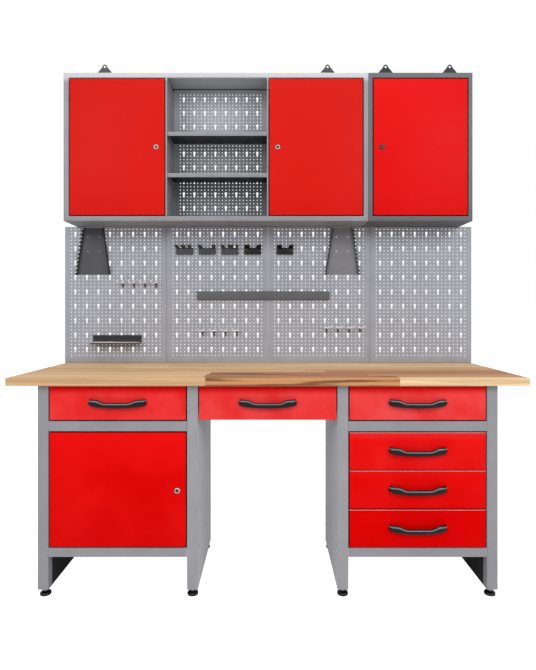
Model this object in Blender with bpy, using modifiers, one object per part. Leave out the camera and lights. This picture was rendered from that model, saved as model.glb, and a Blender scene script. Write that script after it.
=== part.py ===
"""A workstation: a bench with drawers, tool panels standing on its rear edge and wall cabinets above.

Run it with blender --background --python part.py. Units are metres and +Z is up. The front looks
along -Y, and the origin is on the floor under the middle of the worktop."""

import math

import bmesh
import bpy
from mathutils import Vector

# Sheet, clearances and fasteners.
SHEET = 0.0012
GAP = 0.0003  # kept between pieces that touch
DOOR_GAP = 0.0024  # seen round each door and drawer front
OVERLAP = 0.0005  # how far two shapes run into each other where they are joined
CUTTER_REACH = 0.010  # how far a cutter stands out of the sheet that it cuts

# Worktop.
TOP_WIDTH = 2.000
TOP_DEPTH = 0.600
TOP_THICK = 0.030
TOP_HEIGHT = 0.850

# The two pedestals.
PEDESTAL_WIDTH = 0.620
PEDESTAL_DEPTH = 0.450
KNEE_WIDTH = 0.540
FRONT = -TOP_DEPTH / 2 + 0.030
REAR = FRONT + PEDESTAL_DEPTH
SIDE_BOTTOM = 0.028
UPRIGHT_FACE = 0.042
UPRIGHT_RETURN = 0.036
UPPER_RAIL = (0.640, 0.679)
LOWER_RAIL = (0.155, 0.189)
RAIL_DEPTH = 0.030
SHELF_LIP = 0.020
CUPBOARD_SHELF_Z = 0.415
CUPBOARD_SHELF_SETBACK = 0.050

# Feet.
FOOT_RADIUS = 0.0215
FOOT_STEM_RADIUS = 0.007
FOOT_PAD = 0.007
FOOT_SHOULDER = (0.0172, 0.0112)  # radius and height where the pad slopes up to the stem
FOOT_STEM_LOW = 0.014
FOOT_INSET = 0.0225

# Drawers and their handles.
TOP_DRAWER = (0.682, 0.815)
PAN_DEPTH = 0.016
BOX_WIDTH = 0.500
BOX_DEPTH = 0.420
BOX_RISE = 0.011  # from the lower edge of the front to the bottom of the box
BOX_SHORT = 0.022  # how much lower than the front the box is in all
STACK_DRAWERS = 3
HANDLE_WIDTH = 0.225
HANDLE_HEIGHT = 0.033
HANDLE_REACH = 0.028
HANDLE_RADIUS = 0.006

# Locks.
LOCK_FLANGE_RADIUS = 0.009
LOCK_BARREL_RADIUS = 0.0077
LOCK_HOLE_RADIUS = 0.0081
LOCK_PROUD = 0.003
CAM_LENGTH = 0.046
CAM_WIDTH = 0.014
CAM_THICK = 0.002
BENCH_LOCK = (-0.350, 0.411)
BENCH_CAM_DEPTH = 0.038
CABINET_CAM_DEPTH = 0.018
CABINET_LOCK_Z = 1.861
CABINET_LOCK_INSET = 0.041

# Wall cabinets.
WALL = TOP_DEPTH / 2
CABINET_DEPTH = 0.180
CABINET_FRONT = WALL - CABINET_DEPTH
CABINET_Z = (1.520, 2.204)
CABINET_HALF_WIDTH = 0.9425
CABINET_SPLIT = 0.4629  # where the wide cabinet ends and the narrow one begins
WINDOW_Z = (1.543, 2.181)
WIDE_WINDOW = (-0.9195, 0.441)
NARROW_WINDOW = (0.482, 0.924)
OPEN_BAY = (-0.466, -0.005)
DIVIDER_FACE = 0.0066
OPEN_SHELVES_Z = (1.933, 1.742)
CLOSED_SHELF_Z = 1.836
OPEN_SHELF_SETBACK = 0.004
CLOSED_SHELF_SETBACK = 0.040

# Hanging tabs, which are tongues of the back sheets.
TAB_HALF_WIDTH = 0.0345
TAB_SHOULDER_Z = 2.286
TAB_TIP_Z = 2.325
TAB_TIP_RADIUS = 0.012
TAB_HOLE_RADIUS = 0.0055
WIDE_TABS = (-0.808, 0.294)
NARROW_TABS = (0.581, 0.898)

# Tool panels and what hangs on them.
PANELS = 4
PANEL_DEPTH = 0.015
PANEL_FACE = WALL - PANEL_DEPTH
HOLDER_PLATE = 0.0015
HOLDER_REACH = 0.028
HOLDER_LEAN = 0.006
HOLDER_HEIGHT = 0.230
HOLDER_TOP_Z = 1.514
HOLDER_TOP_HALF = 0.050
HOLDER_BOTTOM_HALF = 0.083
HOLDERS_X = {"wrench_holder_left": -0.858, "wrench_holder_right": 0.364}
BAR_X = (-0.350, 0.300)
BAR_Z = (1.161, 1.2025)
BAR_DEPTH = 0.014
SMALL_SHELF_X = (-0.862, -0.622)
SMALL_SHELF_BACK_Z = 0.987
SMALL_SHELF_Z = 0.956
SMALL_SHELF_DEPTH = 0.045
SMALL_SHELF_LIP = 0.012

X_AXIS, Z_AXIS = 0, 2
TURNED_STEPS = 20
TAB_ARC_STEPS = 8
HANDLE_CORNER_STEPS = 4
HANDLE_LEG = 0.007
HANDLE_CORNER = 0.026
HANDLE_BENDS = (0.75, 0.4)  # along the grip, from its middle at 0 to its corner at 1
HANDLE_SAG_RATE = 1.25  # above 1 the grip reaches its full sag before its middle

COLOURS = {
    "red_coat": ((0.84, 0.03, 0.03), 0.45, 0.0),
    "grey_coat": ((0.30, 0.30, 0.32), 0.45, 0.0),
    "panel_coat": ((0.42, 0.42, 0.45), 0.5, 0.0),
    "dark_coat": ((0.07, 0.07, 0.08), 0.5, 0.0),
    "beech": ((0.62, 0.40, 0.20), 0.5, 0.0),
    "black_plastic": ((0.02, 0.02, 0.02), 0.4, 0.0),
    "nickel": ((0.75, 0.75, 0.76), 0.25, 1.0),
}


# ---------------------------------------------------------------- scene and helpers


def clear_scene():
    for obj in list(bpy.data.objects):
        bpy.data.objects.remove(obj, do_unlink=True)


def new_collection(name):
    collection = bpy.data.collections.new(name)
    bpy.context.scene.collection.children.link(collection)
    return collection


def make_materials():
    made = {}
    for name, (colour, roughness, metallic) in COLOURS.items():
        material = bpy.data.materials.new(name)
        material.use_nodes = True
        shader = material.node_tree.nodes["Principled BSDF"]
        shader.inputs["Base Color"].default_value = (*colour, 1.0)
        shader.inputs["Roughness"].default_value = roughness
        shader.inputs["Metallic"].default_value = metallic
        made[name] = material
    return made


clear_scene()
PARTS = new_collection("workstation")
HELPERS = new_collection("helpers")
MATERIALS = make_materials()


def add_part(name, data, finish, location=(0, 0, 0), parent=None):
    """Puts the data in the scene as a part, with its material."""
    obj = bpy.data.objects.new(name, data)
    data.materials.append(MATERIALS[finish])
    obj.location = location
    obj.parent = parent
    PARTS.objects.link(obj)
    return obj


def add_helper(name, data, location=(0, 0, 0)):
    """A cutter, or a shape that is joined to a part. It isn't a part itself."""
    obj = bpy.data.objects.new(name, data)
    obj.location = location
    obj.hide_render = True
    obj.display_type = "WIRE"
    HELPERS.objects.link(obj)
    return obj


def mesh_from(name, bm):
    mesh = bpy.data.meshes.new(name)
    bm.to_mesh(mesh)
    bm.free()
    return mesh


def box_mesh(name, low, high, open_side=None):
    """A box between two corners. The face on open_side, where given, is left out."""
    bm = bmesh.new()
    bmesh.ops.create_cube(bm, size=1.0)
    if open_side:
        gone = [face for face in bm.faces if face.normal.dot(Vector(open_side)) > 0.5]
        bmesh.ops.delete(bm, geom=gone, context="FACES")
    low, high = Vector(low), Vector(high)
    bmesh.ops.scale(bm, vec=high - low, verts=bm.verts)
    bmesh.ops.translate(bm, vec=(low + high) / 2, verts=bm.verts)
    return mesh_from(name, bm)


def cylinder_mesh(name, radius, low_y, high_y):
    """A cylinder along Y, for cutting."""
    bm = bmesh.new()
    bmesh.ops.create_cone(
        bm, cap_ends=True, segments=TURNED_STEPS, radius1=radius, radius2=radius, depth=high_y - low_y
    )
    for vert in bm.verts:
        x, y, z = vert.co
        vert.co = (x, -z + (low_y + high_y) / 2, y)
    return mesh_from(name, bm)


def thicken(obj, side=-1.0, thickness=SHEET):
    """Solidify: a side of -1 puts the thickness behind the faces, and +1 in front of them."""
    modifier = obj.modifiers.new("sheet", "SOLIDIFY")
    modifier.thickness = thickness
    modifier.offset = side
    modifier.use_even_offset = True
    return obj


def combine(obj, other, operation):
    modifier = obj.modifiers.new(other.name, "BOOLEAN")
    modifier.operation = operation
    modifier.object = other
    modifier.solver = "EXACT"
    return obj


def folded_sheet(name, profile, run, start, end, grow):
    """A sheet with straight folds: the corners in profile, swept along the axis called run.

    grow is the direction in which the first flat of the profile gets its thickness.
    It returns the mesh and the side to thicken it on."""
    first, second = [axis for axis in range(3) if axis != run]
    bm = bmesh.new()
    corners = []
    for u, v in profile:
        point = [0.0, 0.0, 0.0]
        point[first], point[second], point[run] = u, v, start
        corners.append(bm.verts.new(point))
    edges = [bm.edges.new(pair) for pair in zip(corners, corners[1:])]
    swept = bmesh.ops.extrude_edge_only(bm, edges=edges)["geom"]
    along = Vector((0, 0, 0))
    along[run] = end - start
    bmesh.ops.translate(bm, vec=along, verts=[v for v in swept if isinstance(v, bmesh.types.BMVert)])
    bmesh.ops.recalc_face_normals(bm, faces=bm.faces)
    first_flat = next(face for face in bm.faces if corners[0] in face.verts and corners[1] in face.verts)
    side = 1.0 if first_flat.normal.dot(Vector(grow)) > 0 else -1.0
    return mesh_from(name, bm), side


def folded_part(name, profile, run, span, grow, finish, thickness=SHEET):
    mesh, side = folded_sheet(name, profile, run, *span, grow)
    return thicken(add_part(name, mesh, finish), side, thickness)


def turned_part(name, profile, finish, location, parent=None, rotation=(0, 0, 0)):
    """A turned shape: a profile of (radius, height) points, run down the outside, round local Z."""
    bm = bmesh.new()
    points = [bm.verts.new((radius, 0, height)) for radius, height in profile]
    for pair in zip(points, points[1:]):
        bm.edges.new(pair)
    obj = add_part(name, mesh_from(name, bm), finish, location, parent)
    obj.rotation_euler = rotation
    screw = obj.modifiers.new("turn", "SCREW")
    screw.steps = screw.render_steps = TURNED_STEPS
    screw.use_merge_vertices = True
    screw.merge_threshold = 0.00005
    return obj


# ---------------------------------------------------------------- bench


def make_worktop():
    half_width, half_depth = TOP_WIDTH / 2, TOP_DEPTH / 2
    low = (-half_width, -half_depth, TOP_HEIGHT - TOP_THICK)
    high = (half_width, half_depth, TOP_HEIGHT)
    add_part("worktop", box_mesh("worktop", low, high), "beech")


def make_side(name, outer_x, inward):
    """One side of a pedestal: a full-height sheet folded into an upright at its front and rear."""
    face_x = outer_x + inward * UPRIGHT_FACE
    profile = [
        (face_x, FRONT + UPRIGHT_RETURN),
        (face_x, FRONT),
        (outer_x, FRONT),
        (outer_x, REAR),
        (face_x, REAR),
        (face_x, REAR - UPRIGHT_RETURN),
    ]
    span = (SIDE_BOTTOM, TOP_HEIGHT - TOP_THICK - GAP)
    side = folded_part(name, profile, Z_AXIS, span, (-inward, 0, 0), "grey_coat")
    add_skirt(side, *sorted((face_x - inward * SHEET, face_x)))
    for end, y in (("front", FRONT + FOOT_INSET), ("rear", REAR - FOOT_INSET)):
        make_foot(f"{name.replace('side', 'foot')}_{end}", outer_x + inward * FOOT_INSET, y)


def add_skirt(side, low_x, high_x):
    """Welds a plate between the two returns of a side, which closes its inner face below the floor pan."""
    low = (low_x, FRONT + UPRIGHT_RETURN - OVERLAP, SIDE_BOTTOM)
    high = (high_x, REAR - UPRIGHT_RETURN + OVERLAP, LOWER_RAIL[1] - SHEET - GAP)
    skirt = add_helper(f"{side.name}_skirt", box_mesh(f"{side.name}_skirt", low, high))
    combine(side, skirt, "UNION")


def make_foot(name, x, y):
    top = SIDE_BOTTOM - GAP
    profile = [
        (0, top),
        (FOOT_STEM_RADIUS, top),
        (FOOT_STEM_RADIUS, FOOT_STEM_LOW),
        FOOT_SHOULDER,
        (FOOT_RADIUS, FOOT_PAD),
        (FOOT_RADIUS, 0),
        (0, 0),
    ]
    turned_part(name, profile, "black_plastic", (x, y, 0))


def make_pedestal(side, left_x):
    """The sheets between the two sides of a pedestal."""
    right_x = left_x + PEDESTAL_WIDTH
    between = (left_x + UPRIGHT_FACE + GAP, right_x - UPRIGHT_FACE - GAP)
    low, high = UPPER_RAIL
    rail = [
        (FRONT + RAIL_DEPTH, low),
        (FRONT, low),
        (FRONT, high),
        (FRONT + RAIL_DEPTH, high),
    ]
    folded_part(f"{side}_upper_rail", rail, X_AXIS, between, (0, 0, 1), "grey_coat")

    low, high = LOWER_RAIL
    floor = [(FRONT, low), (FRONT, high), (REAR, high), (REAR, low)]
    pan = folded_part(f"{side}_floor_pan", floor, X_AXIS, between, (0, 1, 0), "grey_coat")
    wing_low = (left_x + SHEET + GAP, FRONT + UPRIGHT_RETURN + GAP, high - SHEET)
    wing_high = (right_x - SHEET - GAP, REAR - UPRIGHT_RETURN - GAP, high)
    wings = add_helper(f"{side}_floor_wings", box_mesh(f"{side}_floor_wings", wing_low, wing_high))
    combine(pan, wings, "UNION")

    back_low = (between[0], REAR - SHEET, high + GAP)
    back_high = (between[1], REAR, TOP_HEIGHT - TOP_THICK - GAP)
    add_part(f"{side}_back_panel", box_mesh(f"{side}_back_panel", back_low, back_high), "grey_coat")


def make_shelf(name, x_span, z, front_y, rear_y):
    """A shelf with its front edge folded down and back."""
    profile = [
        (rear_y, z),
        (front_y, z),
        (front_y, z - SHELF_LIP),
        (front_y + SHELF_LIP / 2, z - SHELF_LIP),
    ]
    folded_part(name, profile, X_AXIS, x_span, (0, 0, -1), "grey_coat")


def make_handle(drawer):
    """A bow handle: two short legs, rounded corners and a grip that hangs lower than the legs."""
    half = HANDLE_WIDTH / 2 - HANDLE_RADIUS
    out = HANDLE_REACH - HANDLE_RADIUS - HANDLE_LEG
    sag = HANDLE_HEIGHT - 2 * HANDLE_RADIUS
    run = half - HANDLE_CORNER
    right = [(half, -GAP), (half, -HANDLE_LEG)]
    for step in range(1, HANDLE_CORNER_STEPS + 1):
        turn = math.pi / 2 * step / HANDLE_CORNER_STEPS
        right.append((run + HANDLE_CORNER * math.cos(turn), -HANDLE_LEG - out * math.sin(turn)))
    right += [(run * share, right[-1][1]) for share in HANDLE_BENDS]
    path = [(-x, y) for x, y in right] + [(x, y) for x, y in reversed(right)]

    name = drawer.name.replace("drawer", "handle")
    curve = bpy.data.curves.new(name, "CURVE")
    curve.dimensions = "3D"
    curve.bevel_depth = HANDLE_RADIUS
    curve.bevel_resolution = 2
    curve.use_fill_caps = True
    spline = curve.splines.new("POLY")
    spline.points.add(len(path) - 1)
    for point, (x, y) in zip(spline.points, path):
        dropped = math.cos(math.pi / 2 * min(1.0, abs(x) / half))
        z = sag / 2 - sag * min(1.0, HANDLE_SAG_RATE * dropped)
        point.co = (x, y, z, 1.0)
    add_part(name, curve, "black_plastic", parent=drawer)


def make_drawer(name, x_span, z_span):
    """A pan-folded front with an open-topped box joined behind it. Its origin is on the front."""
    half_width = (x_span[1] - x_span[0]) / 2
    half_height = (z_span[1] - z_span[0]) / 2
    place = (sum(x_span) / 2, FRONT, sum(z_span) / 2)
    pan_low = (-half_width, 0, -half_height)
    pan_high = (half_width, PAN_DEPTH, half_height)
    drawer = thicken(add_part(name, box_mesh(name, pan_low, pan_high, (0, 1, 0)), "red_coat", place))
    box_low = (-BOX_WIDTH / 2, OVERLAP, -half_height + BOX_RISE)
    box_high = (BOX_WIDTH / 2, BOX_DEPTH, half_height - BOX_SHORT)
    box = add_helper(f"{name}_box", box_mesh(f"{name}_box", box_low, box_high, (0, 0, 1)), place)
    combine(drawer, thicken(box), "UNION")
    make_handle(drawer)


def make_drawers():
    inset = UPRIGHT_FACE + DOOR_GAP
    half_knee = KNEE_WIDTH / 2
    left = (-half_knee - PEDESTAL_WIDTH + inset, -half_knee - inset)
    right = (half_knee + inset, half_knee + PEDESTAL_WIDTH - inset)
    middle = (-half_knee + DOOR_GAP, half_knee - DOOR_GAP)
    make_drawer("drawer_left_top", left, TOP_DRAWER)
    make_drawer("drawer_middle", middle, TOP_DRAWER)
    make_drawer("drawer_right_top", right, TOP_DRAWER)

    low = LOWER_RAIL[1] + DOOR_GAP
    pitch = (UPPER_RAIL[0] - low) / STACK_DRAWERS
    for count in range(STACK_DRAWERS):
        top = UPPER_RAIL[0] - DOOR_GAP - count * pitch
        name = f"drawer_right_{count + 1}"
        make_drawer(name, right, (top - pitch + DOOR_GAP, top))


# ---------------------------------------------------------------- doors and locks


def make_lock(door, x, z, cam_depth):
    """A cam lock. Its barrel turns in the door, and its cam hangs straight down while unlocked."""
    name = f"{door.name}_lock"
    end = -cam_depth - CAM_THICK
    profile = [
        (0, LOCK_PROUD),
        (LOCK_FLANGE_RADIUS, LOCK_PROUD),
        (LOCK_FLANGE_RADIUS, GAP),
        (LOCK_BARREL_RADIUS, GAP),
        (LOCK_BARREL_RADIUS, end),
        (0, end),
    ]
    place = Vector((x, door.location.y, z))
    lock = turned_part(name, profile, "nickel", place - door.location, door, (math.pi / 2, 0, 0))
    cam_low = (-CAM_WIDTH / 2, cam_depth, -CAM_LENGTH)
    cam_high = (CAM_WIDTH / 2, cam_depth + CAM_THICK - OVERLAP / 4, CAM_WIDTH / 4)
    cam = add_helper(f"{name}_cam", box_mesh(f"{name}_cam", cam_low, cam_high), place)
    combine(lock, cam, "UNION")
    hole = cylinder_mesh(f"{name}_hole", LOCK_HOLE_RADIUS, -CUTTER_REACH, CUTTER_REACH)
    combine(door, add_helper(f"{name}_hole", hole, place), "DIFFERENCE")


def make_door(name, hinge_x, free_x, z_span, front_y):
    """A pan-folded door. Its origin is on its hinge line, at the front of its outer edge."""
    place = (hinge_x, front_y, sum(z_span) / 2)
    half_height = (z_span[1] - z_span[0]) / 2
    low_x, high_x = sorted((0, free_x - hinge_x))
    mesh = box_mesh(name, (low_x, 0, -half_height), (high_x, PAN_DEPTH, half_height), (0, 1, 0))
    return thicken(add_part(name, mesh, "red_coat", place))


def make_bench_door():
    left = -KNEE_WIDTH / 2 - PEDESTAL_WIDTH + UPRIGHT_FACE + DOOR_GAP
    right = -KNEE_WIDTH / 2 - UPRIGHT_FACE - DOOR_GAP
    z_span = (LOWER_RAIL[1] + DOOR_GAP, UPPER_RAIL[0] - DOOR_GAP)
    door = make_door("bench_door", left, right, z_span, FRONT)
    make_lock(door, *BENCH_LOCK, BENCH_CAM_DEPTH)


def make_cabinet_door(name, hinge_x, free_x):
    """The hinge and free edges are those of the window. The leaf stays a gap inside them."""
    inward = math.copysign(1, free_x - hinge_x)
    z_span = (WINDOW_Z[0] + DOOR_GAP, WINDOW_Z[1] - DOOR_GAP)
    leaf_edge = free_x - inward * DOOR_GAP
    door = make_door(name, hinge_x + inward * DOOR_GAP, leaf_edge, z_span, CABINET_FRONT)
    make_lock(door, leaf_edge - inward * CABINET_LOCK_INSET, CABINET_LOCK_Z, CABINET_CAM_DEPTH)


# ---------------------------------------------------------------- wall cabinets


def make_shell(name, x_span, window):
    """The outer case of a cabinet, open at the rear, with a window for its doors in front."""
    low = (x_span[0], CABINET_FRONT, CABINET_Z[0])
    high = (x_span[1], WALL - SHEET - GAP, CABINET_Z[1])
    shell = thicken(add_part(name, box_mesh(name, low, high, (0, 1, 0)), "grey_coat"))
    cut_low = (window[0], CABINET_FRONT - CUTTER_REACH, WINDOW_Z[0])
    cut_high = (window[1], CABINET_FRONT + CUTTER_REACH, WINDOW_Z[1])
    cutter = add_helper(f"{name}_window", box_mesh(f"{name}_window", cut_low, cut_high))
    combine(shell, cutter, "DIFFERENCE")


def make_back(name, x_span, tabs):
    """A back sheet. It covers the case, and a tongue rises above it at each hanging tab."""
    outline = [(x_span[0], CABINET_Z[0]), (x_span[1], CABINET_Z[0]), (x_span[1], CABINET_Z[1])]
    centre_z = TAB_TIP_Z - TAB_TIP_RADIUS
    for x in sorted(tabs, reverse=True):
        outline += [(x + TAB_HALF_WIDTH, CABINET_Z[1]), (x + TAB_HALF_WIDTH, TAB_SHOULDER_Z)]
        for step in range(TAB_ARC_STEPS + 1):
            turn = math.pi * step / TAB_ARC_STEPS
            outline.append((x + TAB_TIP_RADIUS * math.cos(turn), centre_z + TAB_TIP_RADIUS * math.sin(turn)))
        outline += [(x - TAB_HALF_WIDTH, TAB_SHOULDER_Z), (x - TAB_HALF_WIDTH, CABINET_Z[1])]
    outline.append((x_span[0], CABINET_Z[1]))
    holes = [
        [
            (
                x + TAB_HOLE_RADIUS * math.cos(2 * math.pi * step / TURNED_STEPS),
                centre_z + TAB_HOLE_RADIUS * math.sin(2 * math.pi * step / TURNED_STEPS),
            )
            for step in range(TURNED_STEPS)
        ]
        for x in tabs
    ]
    curve = bpy.data.curves.new(name, "CURVE")
    curve.dimensions = "2D"
    curve.fill_mode = "BOTH"
    curve.extrude = SHEET / 2
    for ring in [outline, *holes]:
        spline = curve.splines.new("POLY")
        spline.points.add(len(ring) - 1)
        for point, (x, z) in zip(spline.points, ring):
            point.co = (x, z, 0, 1)
        spline.use_cyclic_u = True
    sheet = add_part(name, curve, "panel_coat", (0, WALL - SHEET / 2, 0))
    sheet.rotation_euler = (math.pi / 2, 0, 0)


def make_divider(name, bay_x, door_side):
    """An upright sheet beside the open bay, with a narrow face folded towards the door."""
    profile = [
        (bay_x + door_side * DIVIDER_FACE, CABINET_FRONT),
        (bay_x, CABINET_FRONT),
        (bay_x, WALL - SHEET - 2 * GAP),
    ]
    span = (WINDOW_Z[0] + GAP, WINDOW_Z[1] - GAP)
    folded_part(name, profile, Z_AXIS, span, (0, 1, 0), "grey_coat")


def make_cabinets():
    wide = (-CABINET_HALF_WIDTH, CABINET_SPLIT - GAP)
    narrow = (CABINET_SPLIT, CABINET_HALF_WIDTH)
    make_shell("wide_cabinet_shell", wide, WIDE_WINDOW)
    make_back("wide_cabinet_back", wide, WIDE_TABS)
    make_shell("narrow_cabinet_shell", narrow, NARROW_WINDOW)
    make_back("narrow_cabinet_back", narrow, NARROW_TABS)
    make_divider("left_divider", OPEN_BAY[0], -1)
    make_divider("right_divider", OPEN_BAY[1], 1)

    rear = WALL - SHEET - 2 * GAP
    open_span = (OPEN_BAY[0] + GAP, OPEN_BAY[1] - GAP)
    for name, z in zip(("open_bay_upper_shelf", "open_bay_lower_shelf"), OPEN_SHELVES_Z):
        make_shelf(name, open_span, z, CABINET_FRONT + OPEN_SHELF_SETBACK, rear)
    reach = SHEET + GAP
    closed = {
        "left_bay_shelf": (wide[0] + reach, OPEN_BAY[0] - reach),
        "right_bay_shelf": (OPEN_BAY[1] + reach, wide[1] - reach),
        "narrow_cabinet_shelf": (narrow[0] + reach, narrow[1] - reach),
    }
    for name, span in closed.items():
        make_shelf(name, span, CLOSED_SHELF_Z, CABINET_FRONT + CLOSED_SHELF_SETBACK, rear)

    make_cabinet_door("left_cabinet_door", WIDE_WINDOW[0], OPEN_BAY[0] - DIVIDER_FACE)
    make_cabinet_door("middle_cabinet_door", WIDE_WINDOW[1], OPEN_BAY[1] + DIVIDER_FACE)
    make_cabinet_door("right_cabinet_door", NARROW_WINDOW[1], NARROW_WINDOW[0])


# ---------------------------------------------------------------- tool panels


def make_panels():
    """Each panel is a pan, open at the wall. Its rows of holes are too fine for this solid."""
    width = TOP_WIDTH / PANELS
    for count in range(PANELS):
        name = f"tool_panel_{count + 1}"
        left = -TOP_WIDTH / 2 + count * width
        low = (left + GAP, PANEL_FACE, TOP_HEIGHT + GAP)
        high = (left + width - GAP, WALL, CABINET_Z[0] - GAP)
        thicken(add_part(name, box_mesh(name, low, high, (0, 1, 0)), "panel_coat"))


def make_wrench_holder(name, centre_x):
    """A plate that widens downwards, with a flange that leans a little inwards along each slanted side."""
    plate_y = PANEL_FACE - GAP
    bm = bmesh.new()
    rims = []
    for half, z in ((HOLDER_TOP_HALF, HOLDER_TOP_Z), (HOLDER_BOTTOM_HALF, HOLDER_TOP_Z - HOLDER_HEIGHT)):
        rim = half - HOLDER_LEAN
        section = [(-rim, plate_y - HOLDER_REACH), (-half, plate_y), (half, plate_y)]
        section.append((rim, plate_y - HOLDER_REACH))
        points = [bm.verts.new((centre_x + x, y, z)) for x, y in section]
        rims += [bm.edges.new(pair) for pair in zip(points, points[1:])]
    bmesh.ops.bridge_loops(bm, edges=rims)
    bmesh.ops.recalc_face_normals(bm, faces=bm.faces)
    plate = max(bm.faces, key=lambda face: face.calc_center_median().y)
    side = -1.0 if plate.normal.y > 0 else 1.0
    thicken(add_part(name, mesh_from(name, bm), "dark_coat"), side, HOLDER_PLATE)


def make_panel_fittings():
    for name, centre_x in HOLDERS_X.items():
        make_wrench_holder(name, centre_x)

    low = (BAR_X[0], PANEL_FACE - GAP - BAR_DEPTH, BAR_Z[0])
    high = (BAR_X[1], PANEL_FACE - GAP, BAR_Z[1])
    add_part("tool_bar", box_mesh("tool_bar", low, high), "dark_coat")

    back_y = PANEL_FACE - GAP
    profile = [
        (back_y, SMALL_SHELF_BACK_Z),
        (back_y, SMALL_SHELF_Z),
        (back_y - SMALL_SHELF_DEPTH, SMALL_SHELF_Z),
        (back_y - SMALL_SHELF_DEPTH, SMALL_SHELF_Z - SMALL_SHELF_LIP),
    ]
    folded_part("small_shelf", profile, X_AXIS, SMALL_SHELF_X, (0, -1, 0), "dark_coat", HOLDER_PLATE)


# ---------------------------------------------------------------- the whole object


def make_bench():
    half_knee = KNEE_WIDTH / 2
    make_worktop()
    make_side("left_outer_side", -half_knee - PEDESTAL_WIDTH, 1)
    make_side("left_inner_side", -half_knee, -1)
    make_side("right_inner_side", half_knee, 1)
    make_side("right_outer_side", half_knee + PEDESTAL_WIDTH, -1)
    make_pedestal("left", -half_knee - PEDESTAL_WIDTH)
    make_pedestal("right", half_knee)
    reach = SHEET + GAP
    shelf_span = (-half_knee - PEDESTAL_WIDTH + reach, -half_knee - reach)
    front = FRONT + CUPBOARD_SHELF_SETBACK
    rear = REAR - UPRIGHT_RETURN - GAP
    make_shelf("cupboard_shelf", shelf_span, CUPBOARD_SHELF_Z, front, rear)
    make_drawers()
    make_bench_door()


make_bench()
make_cabinets()
make_panels()
make_panel_fittings()
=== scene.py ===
# %% [markdown]
# # A steel workstation, and how it gets its looks
#
# The object is a bench with drawers, four perforated tool panels that stand on its rear edge, and two wall
# cabinets above them. Its solids and joints come in as a fixed frame. Here every sheet gets its real
# thickness and rounded folds, every panel its punched holes, and every surface its finish. The sizes are
# read from the frame, so a piece can't drift away from the solid that it stands for.

import math

import bmesh
import bpy
from mathutils import Matrix, Vector


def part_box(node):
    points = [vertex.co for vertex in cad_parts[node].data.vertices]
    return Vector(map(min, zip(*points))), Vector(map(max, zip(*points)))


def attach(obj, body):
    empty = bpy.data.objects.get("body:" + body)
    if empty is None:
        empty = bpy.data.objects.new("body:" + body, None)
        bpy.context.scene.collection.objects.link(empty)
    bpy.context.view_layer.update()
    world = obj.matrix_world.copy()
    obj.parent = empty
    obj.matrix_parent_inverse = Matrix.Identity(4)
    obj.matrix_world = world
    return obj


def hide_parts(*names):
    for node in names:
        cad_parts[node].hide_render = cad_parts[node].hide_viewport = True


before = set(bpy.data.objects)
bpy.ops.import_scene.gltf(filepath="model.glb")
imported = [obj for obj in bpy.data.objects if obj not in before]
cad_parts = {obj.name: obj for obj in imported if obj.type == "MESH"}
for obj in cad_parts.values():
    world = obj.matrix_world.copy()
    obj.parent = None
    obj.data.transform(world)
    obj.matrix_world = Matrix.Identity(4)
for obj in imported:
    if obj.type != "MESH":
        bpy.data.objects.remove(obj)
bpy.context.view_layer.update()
X, Y, Z = range(3)
FRONTWARD = (0, -1, 0)

# %% [markdown]
# The camera stands level in front of the bench, a little to the right of its middle and at the height of the
# tool panels. A level camera keeps the uprights upright. The whole object is moved up in the picture with the
# lens shift, as a shift camera does it, and not by tilting the camera, which would make the sides lean.

# %% Camera
CAMERA_PLACE = (0.009, -2.303, 1.1055)
LENS = 28.26
LENS_SHIFT = (-0.0030, -0.0358)

camera = bpy.data.cameras.new("camera")
camera.lens = LENS
camera.shift_x, camera.shift_y = LENS_SHIFT
camera_object = bpy.data.objects.new("camera", camera)
camera_object.location = CAMERA_PLACE
camera_object.rotation_euler = (math.pi / 2, 0, 0)
bpy.context.scene.collection.objects.link(camera_object)
bpy.context.scene.camera = camera_object
bpy.context.scene.view_settings.view_transform = "Standard"
print("lens:", LENS, "mm, shift:", LENS_SHIFT)

# %% [markdown]
# Soft studio light. One large lamp stands at each side in front, the right one a little stronger, and a lamp
# overhead fills the worktop. A white world closes the gaps. The Light Path node shows the camera a plain
# white world, while the object gets a weaker one, so the folds keep their shadows.

# %% World and lamps
WORLD_FILL = 0.48


def put(tree, kind, values=None, **settings):
    """Adds a node. A value may be a number, a colour or another node's output."""
    made = tree.nodes.new(kind)
    for name, setting in settings.items():
        setattr(made, name, setting)
    for name, value in (values or {}).items():
        if isinstance(value, bpy.types.NodeSocket):
            tree.links.new(value, made.inputs[name])
        else:
            made.inputs[name].default_value = value
    return made


def make_world():
    world = bpy.data.worlds.new("studio")
    bpy.context.scene.world = world
    world.use_nodes = True
    tree = world.node_tree
    tree.nodes.clear()
    seen = put(tree, "ShaderNodeLightPath")
    fill = put(tree, "ShaderNodeBackground", {"Color": (1, 1, 1, 1), "Strength": WORLD_FILL})
    white = put(tree, "ShaderNodeBackground", {"Color": (1, 1, 1, 1), "Strength": 1.0})
    share = seen.outputs["Is Camera Ray"]
    mixed = put(tree, "ShaderNodeMixShader", {0: share, 1: fill.outputs[0], 2: white.outputs[0]})
    put(tree, "ShaderNodeOutputWorld", {"Surface": mixed.outputs[0]})


def area_lamp(name, place, target, size, power):
    lamp = bpy.data.lights.new(name, "AREA")
    lamp.shape = "RECTANGLE"
    lamp.size, lamp.size_y = size
    lamp.energy = power
    holder = bpy.data.objects.new(name, lamp)
    holder.location = place
    holder.rotation_euler = (Vector(target) - Vector(place)).to_track_quat("-Z", "Y").to_euler()
    bpy.context.scene.collection.objects.link(holder)


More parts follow.
